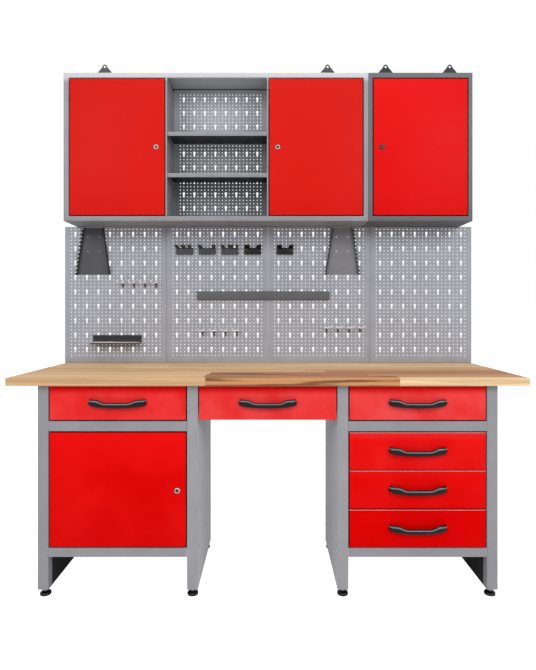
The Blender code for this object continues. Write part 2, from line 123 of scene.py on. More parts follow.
make_world()
area_lamp("lamp_left", (-2.4, -3.3, 3.0), (-0.2, 0, 0.9), (2.0, 2.0), 58)
area_lamp("lamp_right", (2.6, -3.3, 2.9), (0.2, 0, 0.8), (2.0, 2.0), 66)
area_lamp("lamp_overhead", (0, -0.7, 3.9), (0, -0.1, 0.9), (2.8, 1.2), 42)
print("lamps:", len(bpy.data.lights))

# %% [markdown]
# Helpers for sheet metal. Nearly all of this object is folded sheet, so a few helpers carry most of it: a
# bend line with arcs at its corners, a sheet pulled along a straight line from such a bend line, a pan, which
# is a box without one side, and a turned shape for everything round. Solidify then gives the sheet its
# thickness behind its faces. That keeps the outside at the size that the frame says.

# %% Helpers: bend lines and sheets
SHEET = 0.0012
FOLD = 0.0022
FOLD_STEPS = 3
SMOOTH_BELOW = math.radians(35)


def rounded(points, radius=FOLD, steps=FOLD_STEPS):
    """A bend line with an arc of that radius at each of its corners."""
    points = [Vector(point) for point in points]
    line = [points[0]]
    for before, corner, after in zip(points, points[1:], points[2:]):
        back = (before - corner).normalized()
        ahead = (after - corner).normalized()
        half = back.angle(ahead) / 2
        centre = corner + (back + ahead).normalized() * radius / math.sin(half)
        start = corner + back * radius / math.tan(half) - centre
        end = corner + ahead * radius / math.tan(half) - centre
        for step in range(steps + 1):
            share = step / steps
            line.append(centre + (start * (1 - share) + end * share).normalized() * radius)
    return line + [points[-1]]


def pulled(line, run, span):
    """A sheet: the line, drawn in the two axes other than run, pulled along run over the span."""
    bm = bmesh.new()
    across = [axis for axis in range(3) if axis != run]
    corners = []
    for first, second in line:
        point = Vector((0, 0, 0))
        point[across[0]], point[across[1]], point[run] = first, second, span[0]
        corners.append(bm.verts.new(point))
    along = Vector((0, 0, 0))
    along[run] = span[1] - span[0]
    pushed(bm, [bm.edges.new(pair) for pair in zip(corners, corners[1:])], along)
    return bm


def rectangle(left, bottom, right, top):
    return [(left, bottom), (right, bottom), (right, top), (left, top)]


def verts_of(made):
    """The vertices in what an extrusion made."""
    return [item for item in made if isinstance(item, bmesh.types.BMVert)]


def pushed(bm, edges, by):
    """Extrudes the edges, moves what is new, and gives it."""
    made = bmesh.ops.extrude_edge_only(bm, edges=edges)["geom"]
    bmesh.ops.translate(bm, vec=by, verts=verts_of(made))
    return made


def cube(low, high):
    bm = bmesh.new()
    bmesh.ops.create_cube(bm, size=1.0)
    low, high = Vector(low), Vector(high)
    bmesh.ops.scale(bm, vec=high - low, verts=bm.verts)
    bmesh.ops.translate(bm, vec=(low + high) / 2, verts=bm.verts)
    return bm


def bevelled(bm, radius=FOLD, steps=FOLD_STEPS):
    """Rounds every edge that has a face on both of its sides."""
    edges = [edge for edge in bm.edges if len(edge.link_faces) == 2]
    bmesh.ops.bevel(bm, geom=edges, offset=radius, segments=steps, profile=0.5, affect="EDGES")
    return bm


def pan(low, high, open_side, radius=FOLD):
    """A box without one side, with rounded folds."""
    bm = cube(low, high)
    gone = [face for face in bm.faces if face.normal.dot(Vector(open_side)) > 0.5]
    bmesh.ops.delete(bm, geom=gone, context="FACES")
    return bevelled(bm, radius)


def facing(bm, direction):
    """Makes the faces agree, and turns them so that the broadest one square to direction looks that way."""
    direction = Vector(direction)
    bmesh.ops.recalc_face_normals(bm, faces=bm.faces)
    bm.normal_update()
    broadest = max(bm.faces, key=lambda face: face.calc_area() * abs(face.normal.dot(direction)))
    if broadest.normal.dot(direction) < 0:
        bmesh.ops.reverse_faces(bm, faces=bm.faces)
    return bm


# %% Helpers: turned shapes, tubes and finished pieces
def standing(centre, axis=(0, 0, 1)):
    """The matrix that moves a shape from the origin to centre, with its Z along axis."""
    turn = Vector((0, 0, 1)).rotation_difference(Vector(axis)).to_matrix().to_4x4()
    return Matrix.Translation(Vector(centre)) @ turn


def add_turned(bm, profile, place, steps=20):
    """Adds a turned shape to bm: a profile of (radius, height) points, spun round Z and put in its place."""
    old = set(bm.verts)
    line = [bm.verts.new((radius, 0, height)) for radius, height in profile]
    edges = [bm.edges.new(pair) for pair in zip(line, line[1:])]
    bmesh.ops.spin(
        bm,
        geom=line + edges,
        cent=(0, 0, 0),
        axis=(0, 0, 1),
        dvec=(0, 0, 0),
        angle=math.tau,
        steps=steps,
        use_merge=True,
    )
    new = [vert for vert in bm.verts if vert not in old]
    bmesh.ops.remove_doubles(bm, verts=new, dist=1e-6)
    new = [vert for vert in bm.verts if vert not in old]
    bmesh.ops.transform(bm, matrix=place, verts=new)
    return bm


def dress(obj, material, body, replaces=()):
    """Gives a piece its material and its body, and hides the CAD nodes that it stands for."""
    obj.data.materials.clear()
    obj.data.materials.append(material)
    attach(obj, body)
    if replaces:
        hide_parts(*replaces)
    return obj


def piece(name, bm, finish, body="workstation", replaces=(), sheet=0.0, smooth=SMOOTH_BELOW):
    """A finished piece from bm. Where sheet is given, it is thickened behind its faces.

    finish is a pair: the material, and the record's slot."""
    mesh = bpy.data.meshes.new(name)
    bm.to_mesh(mesh)
    bm.free()
    obj = bpy.data.objects.new(name, mesh)
    bpy.context.scene.collection.objects.link(obj)
    if sheet:
        solid = obj.modifiers.new("sheet", "SOLIDIFY")
        solid.thickness, solid.offset, solid.use_even_offset = sheet, -1.0, True
        graph = bpy.context.evaluated_depsgraph_get()
        thick = bpy.data.meshes.new_from_object(obj.evaluated_get(graph))
        obj.modifiers.clear()
        obj.data = thick
    obj.data.shade_smooth()
    obj.data.set_sharp_from_angle(angle=smooth)
    return dress(obj, finish[0], body, replaces)


def wire(name, points, radius, finish, bend):
    """A piece of round wire along the points, with its corners bent round."""
    curve = bpy.data.curves.new(name, "CURVE")
    curve.dimensions = "3D"
    curve.bevel_depth = radius
    curve.bevel_resolution = 3
    curve.use_fill_caps = True
    line = rounded(points, bend, 4)
    spline = curve.splines.new("POLY")
    spline.points.add(len(line) - 1)
    for point, place in zip(spline.points, line):
        point.co = (*place, 1.0)
    obj = bpy.data.objects.new(name, curve)
    bpy.context.scene.collection.objects.link(obj)
    return dress(obj, finish[0], "workstation")


# %% [markdown]
# Powder coat is paint baked from powder. It has a fine orange peel, which is why its highlights are soft, and
# on this red it also looks slightly cloudy. Both are one node group, which every coated material uses with
# its own values. Marks from hands and cleaning, which only change how glossy a spot is, are a second group.

# %% Node groups that the finishes share
def new_group(name, inputs, outputs):
    """A shader node group with named number inputs and outputs. Gives the group, its start and its end."""
    group = bpy.data.node_groups.new(name, "ShaderNodeTree")
    for label, value in inputs.items():
        group.interface.new_socket(label, in_out="INPUT", socket_type="NodeSocketFloat").default_value = value
    for label in outputs:
        group.interface.new_socket(label, in_out="OUTPUT", socket_type="NodeSocketFloat")
    return group, put(group, "NodeGroupInput"), put(group, "NodeGroupOutput")


def object_point(tree):
    return put(tree, "ShaderNodeTexCoord").outputs["Object"]


def make_coat_skin():
    """Orange peel, and the cloudiness of the colour."""
    group, start, end = new_group("coat_skin", {"Peel scale": 420.0, "Cloud scale": 14.0}, ["Peel", "Cloud"])
    point = object_point(group)
    fine, broad = start.outputs["Peel scale"], start.outputs["Cloud scale"]
    peel = put(group, "ShaderNodeTexNoise", {"Vector": point, "Scale": fine, "Detail": 1.0})
    cloud = put(group, "ShaderNodeTexNoise", {"Vector": point, "Scale": broad, "Detail": 5.0})
    spread = put(group, "ShaderNodeMapRange", {"Value": cloud.outputs[0], "From Min": 0.32, "From Max": 0.68})
    group.links.new(peel.outputs[0], end.inputs["Peel"])
    group.links.new(spread.outputs[0], end.inputs["Cloud"])
    return group


def make_hand_marks():
    """Faint smears, longer across than they are high."""
    group, start, end = new_group("hand_marks", {"Scale": 9.0, "Cover": 0.35}, ["Mark"])
    stretched = put(group, "ShaderNodeMapping", {"Vector": object_point(group), "Scale": (0.6, 1.0, 1.7)})
    smear = put(
        group,
        "ShaderNodeTexNoise",
        {"Vector": stretched.outputs[0], "Scale": start.outputs["Scale"], "Detail": 6.0, "Distortion": 0.7},
    )
    edge = put(group, "ShaderNodeMath", {0: 0.72, 1: start.outputs["Cover"]}, operation="SUBTRACT")
    mask = put(
        group,
        "ShaderNodeMapRange",
        {"Value": smear.outputs[0], "From Min": edge.outputs[0], "From Max": 0.75},
        interpolation_type="SMOOTHSTEP",
    )
    group.links.new(mask.outputs[0], end.inputs["Mark"])
    return group


COAT_SKIN = make_coat_skin()
HAND_MARKS = make_hand_marks()


def use_group(tree, group, values=None):
    made = put(tree, "ShaderNodeGroup", node_tree=group)
    for name, value in (values or {}).items():
        made.inputs[name].default_value = value
    return made


# %% [markdown]
# A finish is a function with the few values that differ between the paints. Colours are given as a screen
# shows them, from 0 to 255, and turned into the linear light that the shader works in.

# %% Finishes: powder coat
def shade(red, green, blue):
    """A colour as a screen shows it, as linear light."""

    def linear(value):
        value /= 255
        return value / 12.92 if value <= 0.04045 else ((value + 0.055) / 1.055) ** 2.4

    return (linear(red), linear(green), linear(blue), 1.0)


def new_material(name):
    material = bpy.data.materials.new(name)
    material.use_nodes = True
    return material, material.node_tree, material.node_tree.nodes["Principled BSDF"]


def blend_colours(tree, factor, first, second):
    """A colour between first and second."""
    mix = put(tree, "ShaderNodeMix", data_type="RGBA")
    for socket, value in ((mix.inputs["Factor"], factor), (mix.inputs[6], first), (mix.inputs[7], second)):
        if isinstance(value, bpy.types.NodeSocket):
            tree.links.new(value, socket)
        else:
            socket.default_value = value
    return mix.outputs[2]


def roughened(tree, shader, mark, low, high):
    """The roughness goes from low to high where the marks are."""
    rough = put(tree, "ShaderNodeMapRange", {"Value": mark, "To Min": low, "To Max": high})
    tree.links.new(rough.outputs[0], shader.inputs["Roughness"])


def bumped(tree, shader, height, depth, strength=1.0):
    bump = put(tree, "ShaderNodeBump", {"Height": height, "Distance": depth, "Strength": strength})
    tree.links.new(bump.outputs[0], shader.inputs["Normal"])


PEEL_DEPTH = 0.00004


def powder_coat(
    name, slot, colour, cloudy, roughness=0.42, reflects=0.35, cloud_scale=14.0, painted_light_and_tone=None, painted_light_facets=()
):
    """colour and cloudy are the clear and the cloudy tone of the paint.

    fade is painted light and shade by height, and on the back sheets the tongues' darker grey: the height
    where it starts, where it ends, and the colour there. facets paint light and shade by the way a face
    looks: an axis, the part of the normal along it where the painted colour starts and where it is whole,
    and the colour."""
    material, tree, shader = new_material(name)
    skin = use_group(tree, COAT_SKIN, {"Cloud scale": cloud_scale})
    marks = use_group(tree, HAND_MARKS)
    tone = blend_colours(tree, skin.outputs["Cloud"], shade(*colour), shade(*cloudy))
    if painted_light_and_tone:
        start, end, height_colour = painted_light_and_tone
        height = put(tree, "ShaderNodeSeparateXYZ", {"Vector": object_point(tree)}).outputs["Z"]
        share = put(tree, "ShaderNodeMapRange", {"Value": height, "From Min": start, "From Max": end})
        tone = blend_colours(tree, share.outputs[0], tone, shade(*height_colour))
    if painted_light_facets:
        own_normal = put(tree, "ShaderNodeTexCoord").outputs["Normal"]
        normal = put(tree, "ShaderNodeSeparateXYZ", {"Vector": own_normal})
    for axis, start, whole, other in painted_light_facets:
        along = normal.outputs[axis]
        share = put(tree, "ShaderNodeMapRange", {"Value": along, "From Min": start, "From Max": whole})
        tone = blend_colours(tree, share.outputs[0], tone, shade(*other))
    tree.links.new(tone, shader.inputs["Base Color"])
    roughened(tree, shader, marks.outputs["Mark"], roughness, roughness + 0.09)
    bumped(tree, shader, skin.outputs["Peel"], PEEL_DEPTH)
    shader.inputs["Specular IOR Level"].default_value = reflects
    return material, slot


# Painted shade and highlight for the red fronts: the folded edges are painted almost black for the shade in the
# gaps round them, and a drawer front's upper bend gets a pale painted highlight.
PAINTED_GAP_SHADE_RED = (40, 3, 3)
PAINTED_BEND_HIGHLIGHT = (240, 176, 176)


def red_coat(name, colour, cloudy, reflects=0.06, cloud_scale=9.0, painted_light_and_tone=None, bend=PAINTED_BEND_HIGHLIGHT):
    """Folded edges get painted shade, and bend is the colour of a painted highlight on the upper bend."""
    painted_light_facets = [("Z", 0.25, 0.5, bend)] if bend else []
    painted_light_facets += [(axis, way * 0.88, way * 0.97, PAINTED_GAP_SHADE_RED) for axis in "XZ" for way in (1, -1)]
    return powder_coat(
        name, "red_coat", colour, cloudy, reflects=reflects, cloud_scale=cloud_scale, painted_light_and_tone=painted_light_and_tone, painted_light_facets=painted_light_facets
    )


# Painted light and shade by height on the doors: the bench door is painted lighter towards its top, and the
# cabinet doors darker towards theirs.
BENCH_DOOR_PAINTED_LIGHT = (0.46, 0.66, (232, 14, 14))
CABINET_PAINTED_SHADE = (1.66, 2.15, (190, 21, 13))
NARROW_PAINTED_SHADE = (1.66, 2.15, (204, 14, 13))
# Painted shade: the bench frame's downward faces are painted dark grey.
BENCH_UNDERSIDE_SHADE = [("Z", -0.7, -0.9, (70, 71, 73))]
RED_BENCH_DOOR = red_coat("red_bench_door", (216, 1, 1), (228, 12, 12), 0.03, 6.0, BENCH_DOOR_PAINTED_LIGHT, None)
RED_CABINET = red_coat("red_cabinet_door", (206, 23, 15), (209, 26, 18), 0.06, 4.0, CABINET_PAINTED_SHADE, None)
RED_NARROW = red_coat("red_narrow_door", (212, 13, 12), (216, 17, 16), 0.06, 4.0, NARROW_PAINTED_SHADE, None)
GREY_BENCH = powder_coat("grey_bench_frame", "grey_coat", (143, 144, 149), (149, 150, 155), painted_light_facets=BENCH_UNDERSIDE_SHADE)
# Painted light on the knee sides: they get a lighter copy of the frame grey, and their faces that look sideways
# are painted lighter still, one side more than the other.
KNEE_PAINTED_LIGHT = [("X", 0.7, 0.9, (192, 193, 196)), ("X", -0.7, -0.9, (184, 185, 188))]
GREY_KNEE = powder_coat("grey_knee_sides", "grey_coat", (151, 152, 156), (157, 158, 162), painted_light_facets=KNEE_PAINTED_LIGHT)
# Painted light: the wide cabinet's grey turns lighter over the top of its case, where light falls from above.
GREY_WIDE = powder_coat(
    "grey_wide_cabinet", "grey_coat", (134, 135, 139), (141, 142, 146), painted_light_and_tone=(2.160, 2.184, (183, 184, 187))
)
GREY_NARROW = powder_coat("grey_narrow_cabinet", "grey_coat", (92, 93, 97), (98, 99, 103))
GREY_INSIDE = powder_coat("grey_inside", "grey_coat", (128, 129, 134), (135, 136, 141))
PANEL_GREY = powder_coat("panel_light_grey", "panel_coat", (155, 158, 168), (163, 166, 176), roughness=0.36)
DARK_COAT = powder_coat("anthracite_coat", "dark_coat", (62, 63, 66), (70, 71, 74), roughness=0.5)
# Painted shade: the skirts below the floor pans are painted almost black.
SKIRT_PAINTED_SHADE = powder_coat("skirt_painted_shade", "dark_coat", (26, 27, 29), (32, 33, 35), roughness=0.6)
print("node groups:", len(bpy.data.node_groups), "materials:", len(bpy.data.materials))

# %% [markdown]
# Moulded plastic and plated steel. The handles are satin black plastic with a fine spark-eroded grain, and a
# highlight is painted along the upper part of each grip. The locks, hooks, screws and runners are plated:
# nickel is smooth and warm, zinc is duller and blotchy, which a coarse noise on its roughness gives. The hook
# wires and three of the lock rings are a near-white coat instead of a metal: partly the plating's own
# brightness, and partly a painted reflection.

# %% Finishes: plastic and plated steel
def moulded_plastic(name, slot, colour, roughness):
    material, tree, shader = new_material(name)
    grain = use_group(tree, COAT_SKIN, {"Peel scale": 1500.0, "Cloud scale": 30.0})
    marks = use_group(tree, HAND_MARKS, {"Scale": 26.0, "Cover": 0.4})
    light = tuple(channel * 1.25 for channel in colour)
    tone = blend_colours(tree, grain.outputs["Cloud"], shade(*colour), shade(*light))
    tree.links.new(tone, shader.inputs["Base Color"])
    roughened(tree, shader, marks.outputs["Mark"], roughness, roughness - 0.08)
    bumped(tree, shader, grain.outputs["Peel"], 0.00003)
    return material, slot


def plated(name, slot, colour, roughness, spangle):
    """spangle is how much the roughness changes between blotches."""
    material, tree, shader = new_material(name)
    skin = use_group(tree, COAT_SKIN, {"Peel scale": 900.0, "Cloud scale": 120.0})
    dim = tuple(channel * 0.9 for channel in colour)
    tone = blend_colours(tree, skin.outputs["Cloud"], shade(*colour), shade(*dim))
    tree.links.new(tone, shader.inputs["Base Color"])
    roughened(tree, shader, skin.outputs["Cloud"], roughness, roughness + spangle)
    bumped(tree, shader, skin.outputs["Peel"], 0.00001)
    shader.inputs["Metallic"].default_value = 1.0
    return material, slot


BLACK_PLASTIC = moulded_plastic("black_plastic", "black_plastic", (10, 11, 13), 0.30)
# Painted highlight: a pale band along the upper part of each grip, dark again above it.
PAINTED_GRIP_HIGHLIGHT = [("Z", 0.16, 0.34, (118, 119, 122)), ("Z", 0.46, 0.62, (9, 10, 12))]
HANDLE_PLASTIC = powder_coat(
    "handle_plastic", "black_plastic", (8, 9, 11), (12, 13, 15), 0.28, 0.3, painted_light_facets=PAINTED_GRIP_HIGHLIGHT
)
DARK_STEEL = plated("dark_steel", "nickel", (84, 84, 86), 0.34, 0.10)
# A near-white coat, not a metal, for bright plated steel: partly the plating's own brightness, and partly a
# painted reflection.
ZINC_PAINTED_REFLECTION = powder_coat("zinc_painted_reflection", "nickel", (232, 233, 236), (240, 241, 244), 0.3, 0.5)
ZINC = plated("zinc_plate", "nickel", (190, 193, 198), 0.32, 0.16)
print("materials:", len(bpy.data.materials))

# %% [markdown]
# The worktop is glued from long beech staves. No two have the same colour, and one has a dark heart. So each
# stave is its own closed body with its own colour, kept as an attribute of its faces, and one material
# reads that colour. Grain is noise that is stretched 30 times along the stave, and each stave's seed moves it
# to another place in the noise.

# %% Finish: oiled beech
def make_stave_grain():
    """Fine pores, broad growth rings and a few darker flecks, all running along X."""
    group, start, end = new_group("stave_grain", {"Seed": 0.0, "Long": 0.026}, ["Ring", "Pore", "Fleck"])
    move = put(group, "ShaderNodeCombineXYZ", {axis: start.outputs["Seed"] for axis in "XYZ"})
    moved = put(group, "ShaderNodeVectorMath", {0: object_point(group), 1: move.outputs[0]}, operation="ADD")
    thin = put(group, "ShaderNodeCombineXYZ", {"X": start.outputs["Long"], "Y": 1.0, "Z": 1.0})
    long = put(group, "ShaderNodeVectorMath", {0: moved.outputs[0], 1: thin.outputs[0]}, operation="MULTIPLY")
    point = long.outputs[0]
    ring = put(group, "ShaderNodeTexNoise", {"Vector": point, "Scale": 84.0, "Detail": 4.0, "Distortion": 0.35})
    pore = put(group, "ShaderNodeTexNoise", {"Vector": point, "Scale": 620.0, "Detail": 2.0})
    fleck = put(group, "ShaderNodeTexNoise", {"Vector": point, "Scale": 26.0, "Detail": 4.0, "Distortion": 1.2})
    flecks = put(group, "ShaderNodeMapRange", {"Value": fleck.outputs[0], "From Min": 0.62, "From Max": 0.72})
    group.links.new(ring.outputs[0], end.inputs["Ring"])
    group.links.new(pore.outputs[0], end.inputs["Pore"])
    group.links.new(flecks.outputs[0], end.inputs["Fleck"])
    return group


STAVE_GRAIN = make_stave_grain()


def oiled_beech():
    material, tree, shader = new_material("oiled_beech")
    own = put(tree, "ShaderNodeAttribute", attribute_name="stave_colour")
    seed = put(tree, "ShaderNodeAttribute", attribute_name="stave_seed")
    heart = put(tree, "ShaderNodeAttribute", attribute_name="stave_heart")
    grain = use_group(tree, STAVE_GRAIN)
    tree.links.new(seed.outputs["Fac"], grain.inputs["Seed"])
    ring = grain.outputs["Ring"]
    reach = {"From Min": 0.3, "From Max": 0.7, "To Min": 1.16, "To Max": 0.78}
    ringed = put(tree, "ShaderNodeMapRange", {"Value": ring, **reach})
    stave = own.outputs["Color"]
    lined = put(tree, "ShaderNodeVectorMath", {0: stave, 1: ringed.outputs[0]}, operation="MULTIPLY")
    flecked = put(tree, "ShaderNodeMath", {0: grain.outputs["Fleck"], 1: 0.35}, operation="MULTIPLY")
    brown = blend_colours(tree, flecked.outputs[0], lined.outputs[0], shade(128, 84, 52))
    streak = put(tree, "ShaderNodeMapRange", {"Value": ring, "From Min": 0.53, "From Max": 0.62})
    dark = put(tree, "ShaderNodeMath", {0: streak.outputs[0], 1: heart.outputs["Fac"]}, operation="MULTIPLY")
    hearted = blend_colours(tree, dark.outputs[0], brown, shade(66, 38, 24))
    tree.links.new(hearted, shader.inputs["Base Color"])
    roughened(tree, shader, grain.outputs["Pore"], 0.46, 0.62)
    bumped(tree, shader, grain.outputs["Pore"], 0.00012, 0.5)
    shader.inputs["Specular IOR Level"].default_value = 0.3
    return material, "beech"


BEECH = oiled_beech()
print("beech sockets:", [socket.name for socket in STAVE_GRAIN.interface.items_tree])

# %% [markdown]
# The worktop. Each row of staves is a strip along the bench, broken into long staves at places that differ
# from row to row, as in a real glued board. The front row shows on the front edge: a plain stave, a brown one
# with a dark heart, and a pale one. Behind them the brown wood goes on, and the rear rows are plain.

# %% Worktop
WOODS = {
    "plain": (206, 168, 124),
    "light": (216, 182, 138),
    "honey": (200, 158, 112),
    "brown": (172, 120, 82),
    "amber": (198, 142, 92),
    "pink": (188, 142, 106),
    "cream": (232, 198, 152),
}
SEAM_BEVEL = 0.0005
SEED_STEP = 1.37  # moves the grain from one stave to the next
STAVE_SMOOTH = math.radians(10)
# Each row: its depth, and its staves as (the share of the length where the stave ends, wood, dark heart).
STAVE_ROWS = [
    (0.026, [(0.381, "plain", 0), (0.752, "amber", 0.70), (1, "cream", 0)]),
    (0.043, [(0.376, "light", 0), (0.752, "brown", 0.7), (1, "pink", 0)]),
    (0.043, [(0.376, "light", 0), (0.700, "brown", 1), (1, "pink", 0)]),
    (0.043, [(0.380, "plain", 0), (0.690, "brown", 1), (1, "brown", 0)]),
    (0.043, [(0.382, "light", 0), (0.655, "brown", 0), (1, "brown", 0)]),
    (0.050, [(0.300, "honey", 0), (0.620, "plain", 0), (1, "brown", 0)]),
    (0.050, [(0.220, "plain", 0), (0.580, "honey", 0), (1, "pink", 0)]),
    (0.050, [(0.340, "honey", 0), (0.700, "plain", 0), (1, "honey", 0)]),
    (0.050, [(0.180, "plain", 0), (0.520, "light", 0), (0.850, "plain", 0), (1, "honey", 0)]),
    (0.050, [(0.270, "light", 0), (0.660, "plain", 0), (1, "light", 0)]),
    (0.050, [(0.400, "plain", 0), (0.790, "light", 0), (1, "plain", 0)]),
    (0.050, [(0.240, "light", 0), (0.600, "plain", 0), (1, "light", 0)]),
    (0.052, [(0.350, "plain", 0), (0.720, "light", 0), (1, "plain", 0)]),
]


def make_worktop():
    low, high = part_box("worktop")
    bm = bmesh.new()
    colour = bm.faces.layers.float_color.new("stave_colour")
    seed = bm.faces.layers.float.new("stave_seed")
    heart = bm.faces.layers.float.new("stave_heart")
    front, count = low.y, 0
    for depth, staves in STAVE_ROWS:
        left = low.x
        for share, wood, hearted in staves:
            right = low.x + share * (high.x - low.x)
            old = set(bm.faces)
            made = bmesh.ops.create_cube(bm, size=1.0)["verts"]
            size = Vector((right - left, depth, high.z - low.z))
            bmesh.ops.scale(bm, vec=size, verts=made)
            middle = Vector(((left + right) / 2, front + depth / 2, (low.z + high.z) / 2))
            bmesh.ops.translate(bm, vec=middle, verts=made)
            edges = {edge for vert in made for edge in vert.link_edges}
            bmesh.ops.bevel(bm, geom=list(edges), offset=SEAM_BEVEL, segments=1, affect="EDGES")
            for face in bm.faces:
                if face not in old:
                    face[colour] = shade(*WOODS[wood])
                    face[seed] = count * SEED_STEP
                    face[heart] = hearted
            left, count = right, count + 1
        front += depth
    piece("worktop_staves", bm, BEECH, replaces=["worktop"], smooth=STAVE_SMOOTH)
    print("staves:", count, "depth covered:", round(front - low.y, 4))


make_worktop()

# %% [markdown]
# A pedestal side is one sheet, folded round an upright at the front and at the rear. It is drawn as a bend
# line seen from above and pulled up along Z. Below the floor pan a skirt closes its inner face, and it is
# painted almost black as painted shade, for the dark space under the pedestal. Bolts in two rows hold the
# sheets between the sides. They are dome headed, and their heads lie on the sheet's outside.

# %% Bench frame: sides and bolts
UPRIGHT_RETURN = 0.036
SKIRT_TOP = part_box("left_floor_pan")[1].z - 0.0015
SKIRT_LAP = 0.0005
BOLT_Z = (0.190, 0.660)
BOLT_INSET = 0.023
BOLT_HEAD = [(0, 0.0030), (0.0026, 0.0029), (0.0048, 0.0021), (0.0060, 0.0008), (0.0063, 0)]
BOLT_BELOW = 0.0004  # how far a head's rim sinks into the sheet, so that no light shows under it
SIDES = ("left_outer", "left_inner", "right_inner", "right_outer")


def make_side(side):
    low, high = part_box(side + "_side")
    inward = 1 if side in ("left_outer", "right_inner") else -1
    outer, face = (low.x, high.x) if inward > 0 else (high.x, low.x)
    line = [
        (face, low.y + UPRIGHT_RETURN),
        (face, low.y),
        (outer, low.y),
        (outer, high.y),
        (face, high.y),
        (face, high.y - UPRIGHT_RETURN),
    ]
    bm = facing(pulled(rounded(line), Z, (low.z, high.z)), (-inward, 0, 0))
    paint = GREY_BENCH if side.endswith("outer") else GREY_KNEE
    piece(side + "_sheet", bm, paint, replaces=[side + "_side"], sheet=SHEET)
    near, far = sorted((face - inward * SHEET, face))
    front_y, rear_y = low.y + UPRIGHT_RETURN - SKIRT_LAP, high.y - UPRIGHT_RETURN + SKIRT_LAP
    piece(side + "_skirt", cube((near, front_y, low.z), (far, rear_y, SKIRT_TOP)), SKIRT_PAINTED_SHADE)

    bolts = bmesh.new()
    for z in BOLT_Z:
        for y in (low.y + BOLT_INSET, (low.y + high.y) / 2, high.y - BOLT_INSET):
            place = standing((outer + inward * BOLT_BELOW, y, z), (-inward, 0, 0))
            add_turned(bolts, BOLT_HEAD, place, 16)
    piece(side + "_bolts", bolts, ZINC)


for side in SIDES:
    make_side(side)
    low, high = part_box(side + "_side")
    print(side, "sheet:", [round(value, 3) for value in high - low])

# %% [markdown]
# The levelling feet are moulded pads on a threaded stem. A pad has a flat sole, a rounded rim and a dome up
# to its hexagon nut. Pad and stem are turned shapes, and the nut is the same with six steps round.

# %% Feet
PAD_PROFILE = [
    (0, 0.0150),
    (0.0085, 0.0150),
    (0.0105, 0.0135),
    (0.0160, 0.0120),
    (0.0200, 0.0102),
    (0.0214, 0.0080),
    (0.0215, 0.0022),
    (0.0205, 0.0006),
    (0.0190, 0),
    (0, 0),
]
STEM_RADIUS = 0.0045
STEM_START = 0.014
NUT_ACROSS = 0.0075
NUT_Z = (0.0155, 0.0215)


def make_foot(name):
    low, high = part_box(name)
    centre = ((low.x + high.x) / 2, (low.y + high.y) / 2, low.z)
    pad = add_turned(bmesh.new(), PAD_PROFILE, standing(centre), 36)
    piece(name + "_pad", pad, BLACK_PLASTIC, replaces=[name])
    top = high.z - low.z
    rod = rectangle(0, top, STEM_RADIUS, STEM_START)
    nut = rectangle(0, NUT_Z[1], NUT_ACROSS, NUT_Z[0])
    stem = add_turned(bmesh.new(), rod, standing(centre))
    add_turned(stem, nut, standing(centre), 6)
    piece(name + "_stem", stem, ZINC)


for side in SIDES:
    make_foot(side + "_foot_front")
    make_foot(side + "_foot_rear")
print("feet:", 2 * len(SIDES))

# %% [markdown]
# The upper rails, floor pans and backs lie between the sides. The upper rail is a channel, drawn again here
# so that it gets rounded folds. The floor pans and back sheets are right as they come from the frame, and
# only need their finish.

# %% Rails, floor pans, backs and the cupboard shelf
def make_rail(side):
    low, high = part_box(side + "_upper_rail")
    line = rectangle(high.y, low.z, low.y, high.z)
    bm = facing(pulled(rounded(line), X, (low.x, high.x)), FRONTWARD)
    piece(side + "_rail", bm, GREY_BENCH, replaces=[side + "_upper_rail"], sheet=SHEET)


def finish_node(name, finish):
    """A CAD node whose shape is right gets its finish."""
    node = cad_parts[name]
    node.data.materials.clear()
    node.data.materials.append(finish[0])


for side in ("left", "right"):
    make_rail(side)
    finish_node(side + "_floor_pan", GREY_BENCH)
    finish_node(side + "_back_panel", GREY_BENCH)
finish_node("cupboard_shelf", GREY_INSIDE)

# %% [markdown]
# A drawer is a pan-shaped front with an open box behind it. The front's edges are folded back with a soft
# radius. Along its upper bend a thin line of light is painted in as a highlight, and the folded edges carry
# painted shade. The box's upper rims are hemmed, which is a fold of the sheet that hides its sharp edge. It
# runs in a pair of channel runners: the outer ones are fixed to the bench and the inner ones to the drawer.

# %% Drawers
# Each drawer: its clear and its cloudy tone, how much it reflects, and its deep tone along its top, which is
# painted shade under the worktop on the top drawers and painted light on the stacked ones. The drawers are
# lit and shaded copies of one red: the paler, pinker top drawers carry painted sheen, and the reds deepen
# down the stack as painted shade.
DRAWER_REDS = {
    "left_top": ((230, 32, 32), (240, 60, 60), 0.05, (220, 4, 4)),
    "middle": ((231, 42, 42), (241, 74, 74), 0.05, (220, 4, 4)),
    "right_top": ((232, 46, 46), (242, 78, 78), 0.05, (221, 8, 8)),
    "right_1": ((227, 8, 8), (233, 24, 24), 0.04, (232, 34, 34)),
    "right_2": ((223, 2, 2), (228, 12, 12), 0.03, (228, 12, 12)),
    "right_3": ((216, 0, 1), (220, 4, 4), 0.02, (218, 2, 2)),
}
PAINTED_TOP_DROP = (0.034, 0.008)  # below the front's top: where the deep tone starts and where it is whole
FRONT_DEPTH = 0.016
FRONT_FOLD = 0.0022
SEEN_GAP = 0.0020  # by which a front's folds stay inside the size in the frame, for a clear dark joint
TOP_GAPS = {"right_1": 0.0020, "right_2": 0.0003, "right_3": 0.0016}  # the same, at the top
STACK_GAP = 0.0003  # the same, at the bottom of the stacked drawers
BOX_WIDTH = 0.500
BOX_RISE = 0.011
BOX_SHORT = 0.022
BOX_BEVEL = 0.0016
DRAWER_CLOUD = 8.0
HEM = 0.006
RUNNER_HEIGHT = 0.034
RUNNER_SPAN = (0.019, 0.425)
RUNNER_OUTER_X = 0.2665
RUNNER_LIP = 0.0085
RUNNER_FOLD = 0.0015
